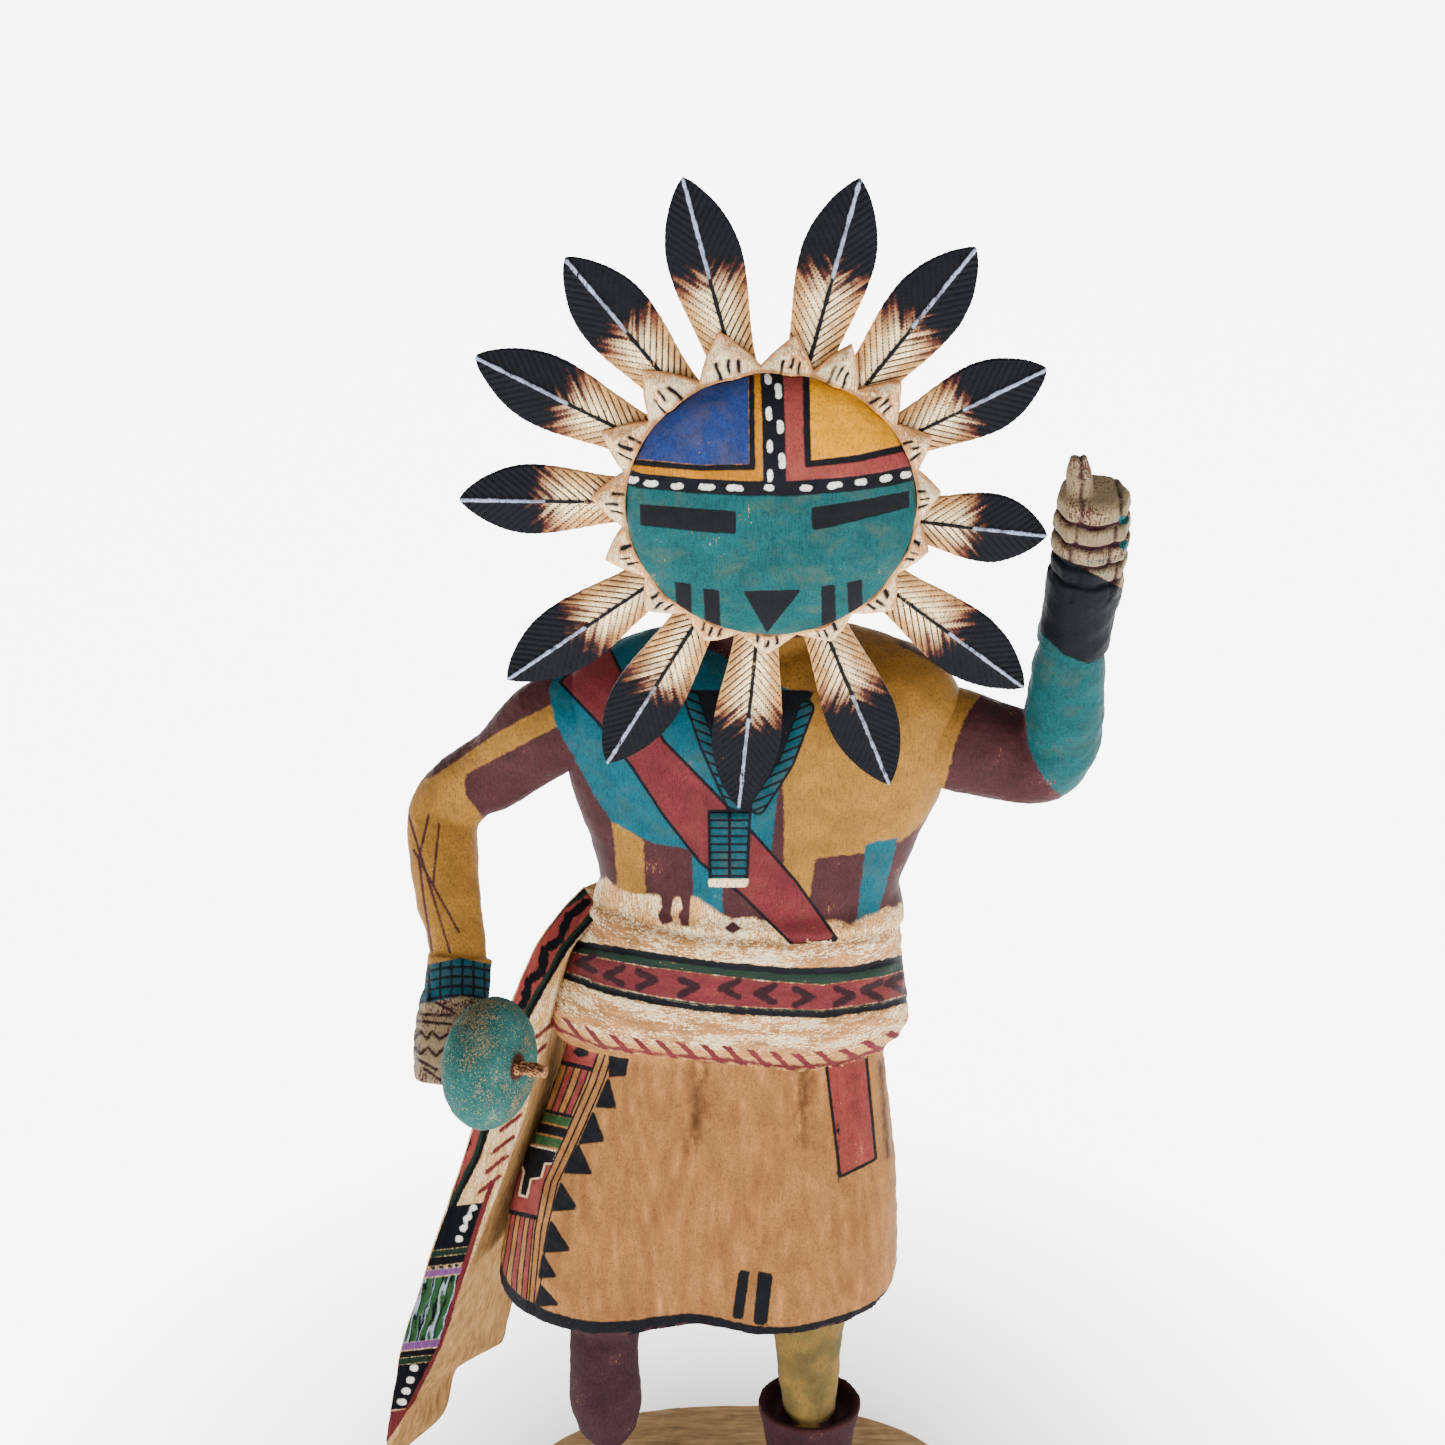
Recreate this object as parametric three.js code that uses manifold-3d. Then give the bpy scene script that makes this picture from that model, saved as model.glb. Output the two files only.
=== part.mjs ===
import * as THREE from 'three';
import { mergeVertices } from 'three/addons/utils/BufferGeometryUtils.js';
import Module from 'manifold-3d';

// A carved and painted wooden dancer with a sun-face mask, on a low wooden base.
// Millimetres, +Z up, the figure faces -Y, the origin is the middle of the base's underside.

const wasm = await Module();
wasm.setup();

// Driving sizes
const figureHeight = 410;    // sole to the tallest feather's tip
const baseWidth = 142;
const baseDepth = 108;
const baseHeight = 15;
const baseChamfer = 1.6;
const glueGap = 0.3;         // between pieces that touch

// The figure's own form is written at this height and scaled to figureHeight.
const drawnHeight = 410;
const k = figureHeight / drawnHeight;

const faceRadius = 32.6 * k;
const faceRise = 9.5 * k;        // how far the domed face stands in front of its rim
const faceSquash = 0.974;        // height of the face as a share of its width
const maskBackRadius = 31 * k;
const maskBackDepth = 4 * k;     // the disc behind the ruff, which the feathers stand round
const ruffPoints = 16;
const ruffReach = 41 * k;        // radius to the ruff's points
const ruffDepth = 3.2 * k;

const featherRootWidth = 10.6 * k;
const featherWidth = 18.2 * k;
const featherThickness = 3.3 * k;
const featherEdge = 1.1 * k;
// Each feather's angle clockwise from the top, in degrees, and its tip's distance from the face's middle.
const featherFan = [
  [-15, 75.5], [14, 75], [37, 72.5], [63, 68], [98, 63.6], [128, 76], [158, 78],
  [185, 79], [210, 77], [234, 76], [270, 70.5], [297, 73.5], [321, 71.5],
];

const rattleRadius = 16.6 * k;
const rattleThickness = 17 * k;
const rattleStickRadius = 2.3 * k;
const rattleStickReach = 16.5 * k;   // how far the stick stands out in front of the gourd's middle
const rattleStickEnd = 3 * k;        // how far it stands out behind the gourd

const faceX = 5.35 * k;
const faceZ = 337 * k;
const maskBackY = -26 * k;

function vec(x, y, z) {
  return new THREE.Vector3(x, y, z);
}

function smooth(t) {
  const c = Math.min(1, Math.max(0, t));
  return c * c * (3 - 2 * c);
}

function signedVolume(points, triangles) {
  let sum = 0;
  for (let i = 0; i < triangles.length; i += 3) {
    const [a, b, c] = [0, 1, 2].map((j) => points[triangles[i + j]]);
    sum += a.dot(b.clone().cross(c)) / 6;
  }
  return sum;
}

// Skin over rings of points, closed by a fan at each end, with its faces turned outward.
function skin(rings) {
  const count = rings[0].length;
  const points = rings.flat();
  const triangles = [];
  for (let i = 0; i + 1 < rings.length; i += 1) {
    for (let j = 0; j < count; j += 1) {
      const next = (j + 1) % count;
      const a = i * count + j;
      const b = i * count + next;
      triangles.push(a, b, b + count, a, b + count, a + count);
    }
  }
  const last = (rings.length - 1) * count;
  for (const [first, flip] of [[0, true], [last, false]]) {
    const ring = points.slice(first, first + count);
    const middle = ring.reduce((sum, p) => sum.clone().add(p), vec(0, 0, 0)).divideScalar(count);
    points.push(middle);
    const centre = points.length - 1;
    for (let j = 0; j < count; j += 1) {
      const p = first + j;
      const q = first + ((j + 1) % count);
      triangles.push(centre, flip ? q : p, flip ? p : q);
    }
  }
  if (signedVolume(points, triangles) < 0) {
    triangles.reverse();
  }
  const geometry = new THREE.BufferGeometry();
  geometry.setAttribute('position',
    new THREE.Float32BufferAttribute(points.flatMap((p) => [p.x, p.y, p.z]), 3));
  geometry.setIndex(triangles);
  return geometry;
}

function toSolid(geometry) {
  const bare = geometry.clone();
  bare.deleteAttribute('normal');
  bare.deleteAttribute('uv');
  const merged = mergeVertices(bare, 1e-4);
  return new wasm.Manifold(new wasm.Mesh({
    numProp: 3,
    vertProperties: new Float32Array(merged.attributes.position.array),
    triVerts: new Uint32Array(merged.index.array),
  }));
}

function toGeometry(solid) {
  const mesh = solid.getMesh();
  const geometry = new THREE.BufferGeometry();
  geometry.setAttribute('position', new THREE.Float32BufferAttribute(mesh.vertProperties, 3));
  geometry.setIndex(Array.from(mesh.triVerts));
  return geometry;
}

function join(solids) {
  return solids.reduce((sum, solid) => sum.add(solid));
}

// One level ring of a trunk: rounded box with its own left, right, front and back, grown outward by grow.
function levelRing(s, sides, grow) {
  const ring = [];
  const middle = (s.left + s.right) / 2;
  const half = (s.right - s.left) / 2;
  for (let j = 0; j < sides; j += 1) {
    const angle = (2 * Math.PI * j) / sides;
    const c = Math.cos(angle);
    const d = Math.sin(angle);
    const u = Math.sign(c) * Math.abs(c) ** (2 / s.power);
    const w = Math.sign(d) * Math.abs(d) ** (2 / s.power);
    const x = middle + half * u;
    const reach = d < 0 ? -s.front : s.back;
    const dip = d < 0 && s.dip ? s.dip * Math.exp(-(((x - s.dipX) / s.dipWidth) ** 2)) : 0;
    const y = w * (reach - dip);
    ring.push(vec(x * k + grow * c, y * k + grow * d, s.z * k));
  }
  return ring;
}

function trunk(stations, sides, grow) {
  const rings = stations.map((s) => levelRing(s, sides, grow));
  rings[0].forEach((p) => { p.z -= grow; });
  rings.at(-1).forEach((p) => { p.z += grow; });
  return toSolid(skin(rings));
}

// A rounded limb along a bent line. Each stop is [x, y, z, half size along side, half size across it].
function limb(stops, sides, steps, side, grow) {
  const path = new THREE.CatmullRomCurve3(
    stops.map((p) => vec(p[0] * k, p[1] * k, p[2] * k)), false, 'centripetal');
  const rings = [];
  for (let i = 0; i <= steps; i += 1) {
    const t = i / steps;
    const at = path.getPoint(t);
    const along = path.getTangent(t);
    const wide = side.clone().addScaledVector(along, -side.dot(along)).normalize();
    const deep = along.clone().cross(wide);
    const place = Math.min(t * (stops.length - 1), stops.length - 1.0001);
    const from = stops[Math.floor(place)];
    const to = stops[Math.floor(place) + 1];
    const part = place - Math.floor(place);
    const a = (from[3] + (to[3] - from[3]) * part) * k + grow;
    const b = (from[4] + (to[4] - from[4]) * part) * k + grow;
    const ring = [];
    for (let j = 0; j < sides; j += 1) {
      const angle = (2 * Math.PI * j) / sides;
      ring.push(at.clone().addScaledVector(wide, a * Math.cos(angle))
        .addScaledVector(deep, b * Math.sin(angle)));
    }
    rings.push(ring);
  }
  return toSolid(skin(rings));
}

// Torso, belt and kilt, heights above the sole.
const torso = [
  { z: 212, left: -40, right: 41, front: -20, back: 19, power: 2.3 },
  { z: 222, left: -37, right: 40, front: -21.5, back: 19.5, power: 2.3 },
  { z: 235, left: -39, right: 43.5, front: -21.5, back: 20, power: 2.3 },
  { z: 250, left: -43.5, right: 49.5, front: -21.5, back: 21, power: 2.4 },
  { z: 264, left: -45.5, right: 53, front: -21.5, back: 21, power: 2.5 },
  { z: 275, left: -46, right: 53.5, front: -20.5, back: 20, power: 2.5 },
  { z: 283, left: -42, right: 49.5, front: -18, back: 18, power: 2.3 },
  { z: 289, left: -31, right: 39, front: -15, back: 15, power: 2.1 },
  { z: 293, left: -14, right: 24, front: -11, back: 11, power: 2 },
];
const belt = [
  { z: 174, left: -46, right: 38, front: -14, back: 18, power: 2.3 },
  { z: 177.5, left: -50, right: 42, front: -17.5, back: 22, power: 2.3 },
  { z: 182.5, left: -52.5, right: 43.8, front: -20, back: 24, power: 2.3 },
  { z: 189, left: -51, right: 43, front: -21.5, back: 23.5, power: 2.3 },
  { z: 195.5, left: -48.5, right: 42.2, front: -22, back: 22.5, power: 2.3 },
  { z: 209, left: -43, right: 41, front: -24, back: 22, power: 2.3 },
  { z: 213.5, left: -41, right: 41.5, front: -25.5, back: 22.5, power: 2.3 },
  { z: 217.5, left: -39.5, right: 41, front: -25, back: 22, power: 2.3 },
  { z: 222, left: -37.5, right: 39.8, front: -22.4, back: 20.4, power: 2.3 },
];
const kiltDip = { dipX: -13, dipWidth: 15 };
const kilt = [
  { z: 98, left: -68.5, right: 42.2, front: -32, back: 30, power: 2.5, dip: 6, ...kiltDip },
  { z: 103, left: -67.8, right: 43, front: -32, back: 30, power: 2.5, dip: 6, ...kiltDip },
  { z: 128, left: -62, right: 42.3, front: -28.5, back: 28, power: 2.4, dip: 4, ...kiltDip },
  { z: 150, left: -54, right: 40, front: -24, back: 25, power: 2.3, dip: 1.5, ...kiltDip },
  { z: 186, left: -43, right: 35.5, front: -16, back: 18, power: 2.3 },
];

function bodyCore(grow) {
  return join([trunk(torso, 26, grow), trunk(belt, 28, grow), trunk(kilt, 34, grow)]);
}

// The head is a block with a flat front, which the mask is glued to.
function headBlock() {
  const rings = [];
  const front = maskBackY + glueGap;
  const rounds = 5;
  const depth = 43 * k;
  const radius = 25 * k;
  const middleZ = faceZ - 6 * k;
  for (let i = 0; i <= rounds; i += 1) {
    const angle = (Math.PI / 2) * (i / rounds) * 0.94;
    const y = i === 0 ? front : front + depth * 0.35 + depth * 0.65 * Math.sin(angle);
    const r = radius * Math.cos(angle);
    const ring = [];
    for (let j = 0; j < 24; j += 1) {
      const turn = (2 * Math.PI * j) / 24;
      ring.push(vec(faceX + r * Math.sin(turn), y, middleZ + r * 1.08 * Math.cos(turn)));
    }
    rings.push(ring);
  }
  return toSolid(skin(rings));
}

const neck = [
  { z: 284, left: -11.5, right: 21.5, front: -12, back: 12, power: 2 },
  { z: 298, left: -8.5, right: 19, front: -13, back: 10, power: 2 },
  { z: 320, left: -7.5, right: 18, front: -13, back: 9, power: 2 },
];

// Standing leg and boot, and the other foot, which hangs free with its toe down.
const standingLeg = [[18, 0, 106, 13, 12], [18.4, -1, 88, 11.4, 10.5], [19, -2, 66, 9, 8.6],
  [19.6, -2, 45, 7.4, 7.2],
  [19.8, -2, 30, 7, 7]];
const bootShaft = [[19.6, -0.5, 49.5, 15.4, 13.4], [19.6, -0.5, 42, 13.6, 12.4], [19.6, 0, 30, 12.2, 12],
  [19.6, 0.5, 14, 12, 12.6], [19.6, 0.5, 0, 12.4, 13]];
const bootFoot = [
  { z: 0, left: 7.2, right: 32, front: -43, back: 14, power: 2.6 },
  { z: 3, left: 6.8, right: 32.4, front: -43.5, back: 14.4, power: 2.6 },
  { z: 8, left: 7.6, right: 31.6, front: -40, back: 13.8, power: 2.4 },
  { z: 14, left: 9.4, right: 29.8, front: -29, back: 12.6, power: 2.2 },
  { z: 19, left: 11, right: 28.4, front: -14, back: 11, power: 2 },
];
const hangingLeg = [[-34, -4, 116, 12, 14], [-36, -14, 103, 10.6, 12], [-38, -22, 90, 10.2, 9.5],
  [-37.6, -29, 76, 10.6, 7.5], [-37.4, -32, 69, 8.4, 5.8],
  [-37.2, -33.8, 64.8, 4.6, 3.4], [-37.1, -34.4, 63.2, 1.4, 1.2]];

function cuffRecess() {
  const across = vec(1, 0, 0);
  return limb([[19.6, -0.5, 52, 13.4, 11.4], [19.6, -0.8, 44, 10.6, 9.6]], 20, 2, across, 0);
}

function makeBody() {
  const across = vec(1, 0, 0);
  const boot = limb(bootShaft, 20, 8, across, 0).subtract(cuffRecess());
  return join([
    bodyCore(0),
    trunk(neck, 18, 0),
    headBlock(),
    boot,
    trunk(bootFoot, 24, 0),
    limb(standingLeg, 16, 6, across, 0),
    limb(hangingLeg, 18, 8, across, 0),
  ]);
}

// A closed fist from wrist to knuckles: rows of folded fingers.
// Half width runs along side, half depth across it.
function fist(from, to, halfWidth, halfDepth, rows, side) {
  const rings = [];
  const start = vec(...from).multiplyScalar(k);
  const end = vec(...to).multiplyScalar(k);
  const along = end.clone().sub(start).normalize();
  const wide = side.clone().addScaledVector(along, -side.dot(along)).normalize();
  const deep = along.clone().cross(wide);
  const sides = 12;
  const steps = rows * 2;
  for (let i = 0; i <= steps; i += 1) {
    const t = i / steps;
    const ridge = i % 2 === 1 ? 1 : 0.86;
    const round = 0.8 + 0.2 * Math.sin(Math.PI * (0.12 + 0.76 * t));
    const ring = [];
    for (let j = 0; j < sides; j += 1) {
      const angle = (2 * Math.PI * (j + 0.5)) / sides;
      const a = halfWidth * k * ridge * round
        * Math.sign(Math.cos(angle)) * Math.abs(Math.cos(angle)) ** 0.75;
      const b = halfDepth * k * ridge * round
        * Math.sign(Math.sin(angle)) * Math.abs(Math.sin(angle)) ** 0.75;
      ring.push(start.clone().lerp(end, t).addScaledVector(wide, a).addScaledVector(deep, b));
    }
    rings.push(ring);
  }
  return toSolid(skin(rings));
}

const rightArm = [[-34, -1, 272, 10, 11], [-47, -1, 268, 10.8, 12.5], [-62, 2, 254, 9.4, 10],
  [-73, 5, 244, 8.6, 8.8],
  [-77, 2, 236, 8.6, 8.8], [-76, -7, 226, 8.4, 8.4], [-73.5, -14, 215, 7.2, 7.4],
  [-72.2, -20, 206, 6.6, 6.6],
  [-73, -23, 200.5, 6.8, 6.8]];
const rightBracelet = [[-72.3, -17.5, 210, 8.3, 8.3], [-73.1, -22.8, 201, 8.4, 8.4]];
const rightFist = { from: [-73.4, -23, 202.5], to: [-75.2, -33, 182.5], halfWidth: 8, halfDepth: 9.6 };
const rightThumb = [[-69, -28, 201, 3.2, 3], [-66.5, -33, 195, 3.3, 3], [-66.5, -36, 189, 2.6, 2.4]];

const leftArm = [[38, -1, 269, 10, 12], [52, -1.5, 264, 12, 13], [66, -1, 259.5, 11, 12.2],
  [75.5, -2, 259, 10.6, 11.6],
  [79.8, -5, 270, 9.8, 10], [78.4, -11, 287, 8.6, 9], [78.2, -15, 298, 7, 7.4], [79, -19, 310, 6.6, 6.6],
  [79.6, -21, 316, 6.6, 6.6]];
const leftGuard = [[78.2, -15, 297, 8.6, 8.8], [78.6, -18, 306, 8.3, 8.6], [79.2, -21, 316.5, 9, 9.2]];
const leftFist = { from: [79.4, -21.5, 313.5], to: [78.4, -29, 342], halfWidth: 8.4, halfDepth: 9.2 };
const leftThumb = [[76, -29, 337, 3.4, 3.2], [74.6, -29.5, 344, 3, 3], [74.2, -29.5, 349, 2.1, 2.2]];

function makeArm(arm, cuff, hand, thumb, side, coreCut) {
  const parts = [
    limb(arm, 16, 18, side, 0),
    limb(cuff, 16, 3, side, 0),
    fist(hand.from, hand.to, hand.halfWidth, hand.halfDepth, 4, side),
    limb(thumb, 8, 3, side, 0),
  ];
  return join(parts).subtract(coreCut);
}

// The mask: a backing disc, a ruff of pointed petals and a domed face, all carved as one.
function faceRing(radius, y) {
  const ring = [];
  const sides = ruffPoints * 2;
  for (let j = 0; j < sides; j += 1) {
    const angle = (-2 * Math.PI * j) / sides;
    const r = typeof radius === 'function' ? radius(j) : radius;
    ring.push(vec(faceX + r * Math.sin(angle), y, faceZ + r * faceSquash * Math.cos(angle)));
  }
  return ring;
}

const maskFrontY = maskBackY - maskBackDepth - ruffDepth;

function makeMask() {
  const star = (share) => (j) => (j % 2 === 0 ? ruffReach : faceRadius + 2.6) * share;
  const disc = [faceRing(maskBackRadius, maskBackY), faceRing(maskBackRadius, maskFrontY + 1)];
  const ruff = [
    faceRing(star(1), maskBackY - maskBackDepth),
    faceRing(star(0.985), maskBackY - maskBackDepth - 1.2),
    faceRing(faceRadius, maskFrontY - 1),
  ];
  const dome = [faceRing(faceRadius - 1, maskBackY - maskBackDepth - 1), faceRing(faceRadius, maskFrontY)];
  const rounds = 5;
  for (let i = 1; i <= rounds; i += 1) {
    const angle = (Math.PI / 2) * (i / rounds) * 0.93;
    dome.push(faceRing(faceRadius * Math.cos(angle) ** 0.9, maskFrontY - faceRise * Math.sin(angle)));
  }
  return join([disc, ruff, dome].map((rings) => toSolid(skin(rings))));
}

// One leaf-shaped feather, carved with a ridge down its middle, lying in the mask's plane.
function featherHalfWidth(t) {
  const widest = 0.56;
  const root = featherRootWidth / 2;
  const full = featherWidth / 2;
  if (t < widest) {
    return root + (full - root) * smooth(t / widest);
  }
  const beyond = (t - widest) / (1 - widest);
  return Math.max(full * Math.cos((Math.PI / 2) * beyond) ** 0.86, 0.03 * full);
}

function makeFeather(angleDegrees, tipRadius) {
  const angle = THREE.MathUtils.degToRad(angleDegrees);
  const out = vec(Math.sin(angle), 0, Math.cos(angle));
  const across = vec(Math.cos(angle), 0, -Math.sin(angle));
  const start = maskBackRadius + glueGap + 0.2;
  const frontY = maskBackY - maskBackDepth + glueGap;
  const middleY = frontY + featherThickness / 2;
  const rings = [];
  const steps = 11;
  for (let i = 0; i <= steps; i += 1) {
    const t = 1 - (1 - i / steps) ** 1.25;
    const half = featherHalfWidth(t);
    const thick = (featherThickness / 2) * (1 - 0.55 * t * t);
    const edge = Math.min(featherEdge / 2, thick);
    const r = start + (tipRadius * k - start) * t;
    const at = vec(faceX, middleY, faceZ).addScaledVector(out, r);
    const ring = [[-half, edge], [-half, -edge], [0, -thick], [half, -edge], [half, edge], [0, thick]];
    rings.push(ring.map(([a, b]) => at.clone().addScaledVector(across, a).add(vec(0, b, 0))));
  }
  return skin(rings);
}

// The hanging sash: three edges (front crest, outer back, inner back) carried down from the hip to its end.
const sashEdges = [
  { front: [-37.5, -9, 217], outer: [-42, 6, 217], inner: [-33, 12, 216] },
  { front: [-45.5, -9, 205], outer: [-51, 8, 205], inner: [-40, 18, 203] },
  { front: [-51.5, -11, 186], outer: [-61.5, 11, 182], inner: [-47, 26, 178] },
  { front: [-58.5, -12.5, 158], outer: [-72.5, 15, 150], inner: [-54, 31, 142] },
  { front: [-74, -8, 110], outer: [-90, 23, 94], inner: [-66, 35, 84] },
  { front: [-90, -2, 66], outer: [-101, 24, 51], inner: [-70.5, 35, 50] },
  { front: [-93, -0.5, 58], outer: [-102.5, 24, 45], inner: [-72.5, 35, 41] },
  { front: [-97, 1, 46.5], outer: [-103.8, 23, 37.5], inner: [-86.5, 31, 33.5] },
  { front: [-101, 3, 35.5], outer: [-105.6, 21.5, 28.5], inner: [-90, 28, 20.5] },
  { front: [-105.5, 5.5, 21], outer: [-107.3, 17.5, 18.5], inner: [-101.5, 23, 10.5] },
];

function makeSash(coreCut) {
  const rings = sashEdges.map((s) => {
    const [front, outer, inner] = [s.front, s.outer, s.inner].map((p) => vec(...p).multiplyScalar(k));
    const back = outer.clone().lerp(inner, 0.5).add(vec(0, 1.5 * k, 0));
    return [front, outer, back, inner];
  });
  return toSolid(skin(rings)).subtract(coreCut);
}

// The rattle: a flattened gourd, bored through for its stick.
function makeRattle() {
  const profile = [];
  const bore = rattleStickRadius + glueGap;
  const rounds = 10;
  for (let i = 0; i <= rounds; i += 1) {
    const angle = -Math.PI / 2 + (Math.PI * i) / rounds;
    const r = Math.max(bore, rattleRadius * Math.cos(angle) ** 0.85);
    profile.push(new THREE.Vector2(r, (rattleThickness / 2) * Math.sin(angle)));
  }
  profile.push(profile[0].clone());
  return mergeVertices(bareOf(new THREE.LatheGeometry(profile, 28)), 1e-4);
}

function bareOf(geometry) {
  geometry.deleteAttribute('normal');
  geometry.deleteAttribute('uv');
  return geometry;
}

function makeStick() {
  const start = -rattleThickness / 2 - rattleStickEnd;
  const length = rattleStickReach - start;
  const stick = new THREE.CylinderGeometry(rattleStickRadius * 0.8, rattleStickRadius, length, 9, 2);
  stick.translate(0, start + length / 2, 0);
  return mergeVertices(bareOf(stick), 1e-4);
}

// The base: a low slab with softened edges.
function makeBase() {
  const slab = [
    [0, baseChamfer], [baseChamfer, 0], [baseHeight - baseChamfer, 0], [baseHeight, baseChamfer],
  ];
  const rings = slab.map(([z, inset]) => {
    const ring = [];
    const sides = 40;
    for (let j = 0; j < sides; j += 1) {
      const angle = (2 * Math.PI * j) / sides;
      const c = Math.cos(angle);
      const d = Math.sin(angle);
      const x = (baseWidth / 2 - inset) * Math.sign(c) * Math.abs(c) ** 0.8;
      const y = (baseDepth / 2 - inset) * Math.sign(d) * Math.abs(d) ** 0.8;
      ring.push(vec(x, y, z));
    }
    return ring;
  });
  return skin(rings);
}

function piece(name, geometry, colour, roughness) {
  geometry.computeVertexNormals();
  const material = new THREE.MeshStandardMaterial({ color: colour, roughness, metalness: 0 });
  const mesh = new THREE.Mesh(geometry, material);
  mesh.name = name;
  return mesh;
}

const doll = new THREE.Group();
doll.add(piece('base', makeBase(), 0xb4946a, 0.8));

const figure = new THREE.Group();
figure.position.z = baseHeight + glueGap;
doll.add(figure);

const gapCut = bodyCore(glueGap);
const forward = vec(0, -1, 0);
const rattleAt = vec(-62.9, -44.5, 196).multiplyScalar(k);
const rattleAxis = vec(0.87, -0.46, 0.16).normalize();
const rattleTurn = new THREE.Quaternion().setFromUnitVectors(vec(0, 1, 0), rattleAxis);

// Room for the gourd and its stick where the fist holds them.
function rattleRoom() {
  const rings = [];
  const rounds = 8;
  for (let i = 0; i <= rounds; i += 1) {
    const angle = -Math.PI / 2 * 0.94 + (Math.PI * 0.94 * i) / rounds;
    const r = rattleRadius * Math.cos(angle) ** 0.85 + glueGap * 1.6;
    const y = (rattleThickness / 2 + glueGap * 1.6) * Math.sin(angle);
    const ring = [];
    for (let j = 0; j < 28; j += 1) {
      const turn = (2 * Math.PI * j) / 28;
      ring.push(vec(r * Math.sin(turn), y, r * Math.cos(turn)).applyQuaternion(rattleTurn).add(rattleAt));
    }
    rings.push(ring);
  }
  const reach = rattleAxis.clone().multiplyScalar(-(rattleThickness / 2 + rattleStickEnd + glueGap));
  const end = rattleAt.clone().add(reach).divideScalar(k);
  const middle = rattleAt.clone().divideScalar(k);
  const stickRoom = rattleStickRadius + glueGap * 1.3;
  const path = [[end.x, end.y, end.z, 0, 0], [middle.x, middle.y, middle.z, 0, 0]];
  const bore = limb(path, 12, 1, vec(0, 0, 1), stickRoom);
  return toSolid(skin(rings)).add(bore);
}

figure.add(piece('body', toGeometry(makeBody()), 0x70423f, 0.75));
const armRight = makeArm(rightArm, rightBracelet, rightFist, rightThumb, forward, gapCut.add(rattleRoom()));
figure.add(piece('arm_right', toGeometry(armRight), 0xb98b3c, 0.75));
const armLeft = makeArm(leftArm, leftGuard, leftFist, leftThumb, forward, gapCut);
figure.add(piece('arm_left', toGeometry(armLeft), 0x26848c, 0.75));
figure.add(piece('trailing_sash', toGeometry(makeSash(gapCut)), 0xa88a5c, 0.8));
figure.add(piece('mask', toGeometry(makeMask()), 0x30848a, 0.7));

featherFan.forEach(([angle, tip], i) => {
  const name = `feather_${String(i + 1).padStart(2, '0')}`;
  figure.add(piece(name, makeFeather(angle, tip), 0xd8c4a0, 0.75));
});

const rattle = new THREE.Group();
rattle.position.copy(rattleAt);
rattle.quaternion.copy(rattleTurn);
rattle.add(piece('rattle_gourd', makeRattle(), 0x3c9a96, 0.85));
rattle.add(piece('rattle_stick', makeStick(), 0x6b4a2e, 0.85));
figure.add(rattle);

export default doll;
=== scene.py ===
# A carved and painted wooden dancer with a sun-face mask, dressed over its CAD frame.
import math
import bmesh
import bpy
import numpy as np
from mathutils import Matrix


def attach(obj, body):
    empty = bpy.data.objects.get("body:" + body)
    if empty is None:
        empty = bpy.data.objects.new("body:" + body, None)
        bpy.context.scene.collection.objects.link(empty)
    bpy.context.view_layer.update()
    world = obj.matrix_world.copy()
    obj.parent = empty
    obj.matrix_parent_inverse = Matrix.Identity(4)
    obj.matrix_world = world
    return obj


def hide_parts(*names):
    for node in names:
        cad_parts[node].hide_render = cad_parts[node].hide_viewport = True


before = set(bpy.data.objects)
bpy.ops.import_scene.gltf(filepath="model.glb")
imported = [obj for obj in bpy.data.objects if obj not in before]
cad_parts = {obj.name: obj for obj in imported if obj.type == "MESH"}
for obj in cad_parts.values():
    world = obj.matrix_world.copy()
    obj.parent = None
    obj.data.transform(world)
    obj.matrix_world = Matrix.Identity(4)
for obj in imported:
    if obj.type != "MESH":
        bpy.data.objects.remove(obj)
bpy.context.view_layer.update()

mm = 0.001
soleZ = 15.3          # height of the boot's sole, the figure's own zero

# The view that the doll was painted to match, in millimetres and in pixels of a 1445 pixel frame.
view = {"size": 1445, "focal": 2400.0, "pitch": 26.0, "distance": 600.0, "target": (-5.6, 0.0, 283.0)}
pitchSin = math.sin(math.radians(view["pitch"]))
pitchCos = math.cos(math.radians(view["pitch"]))
eye = np.array([view["target"][0], -view["distance"] * pitchCos,
                view["target"][2] + view["distance"] * pitchSin])


def photoPlace(points):     # where points in millimetres fall in the frame of the view
    d = points - eye
    depth = d[:, 1] * pitchCos - d[:, 2] * pitchSin
    up = d[:, 1] * pitchSin + d[:, 2] * pitchCos
    half = view["size"] / 2
    return half + view["focal"] * d[:, 0] / depth, half - view["focal"] * up / depth


# Distances to drawn shapes, negative inside, for arrays of places

def area(px, py, corners):
    inside = np.zeros(px.shape, dtype=bool)
    nearest = np.full(px.shape, 1e9)
    count = len(corners)
    for i in range(count):
        (ax, ay), (bx, by) = corners[i], corners[(i + 1) % count]
        ex, ey = bx - ax, by - ay
        t = np.clip(((px - ax) * ex + (py - ay) * ey) / (ex * ex + ey * ey + 1e-9), 0, 1)
        nearest = np.minimum(nearest, np.hypot(px - ax - t * ex, py - ay - t * ey))
        if ay != by:
            crosses = ((ay > py) != (by > py)) & (px < (bx - ax) * (py - ay) / (by - ay) + ax)
            inside ^= crosses
    return np.where(inside, -nearest, nearest)


def areas(px, py, shapes):
    return either(*[area(px, py, shape) for shape in shapes])


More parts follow.
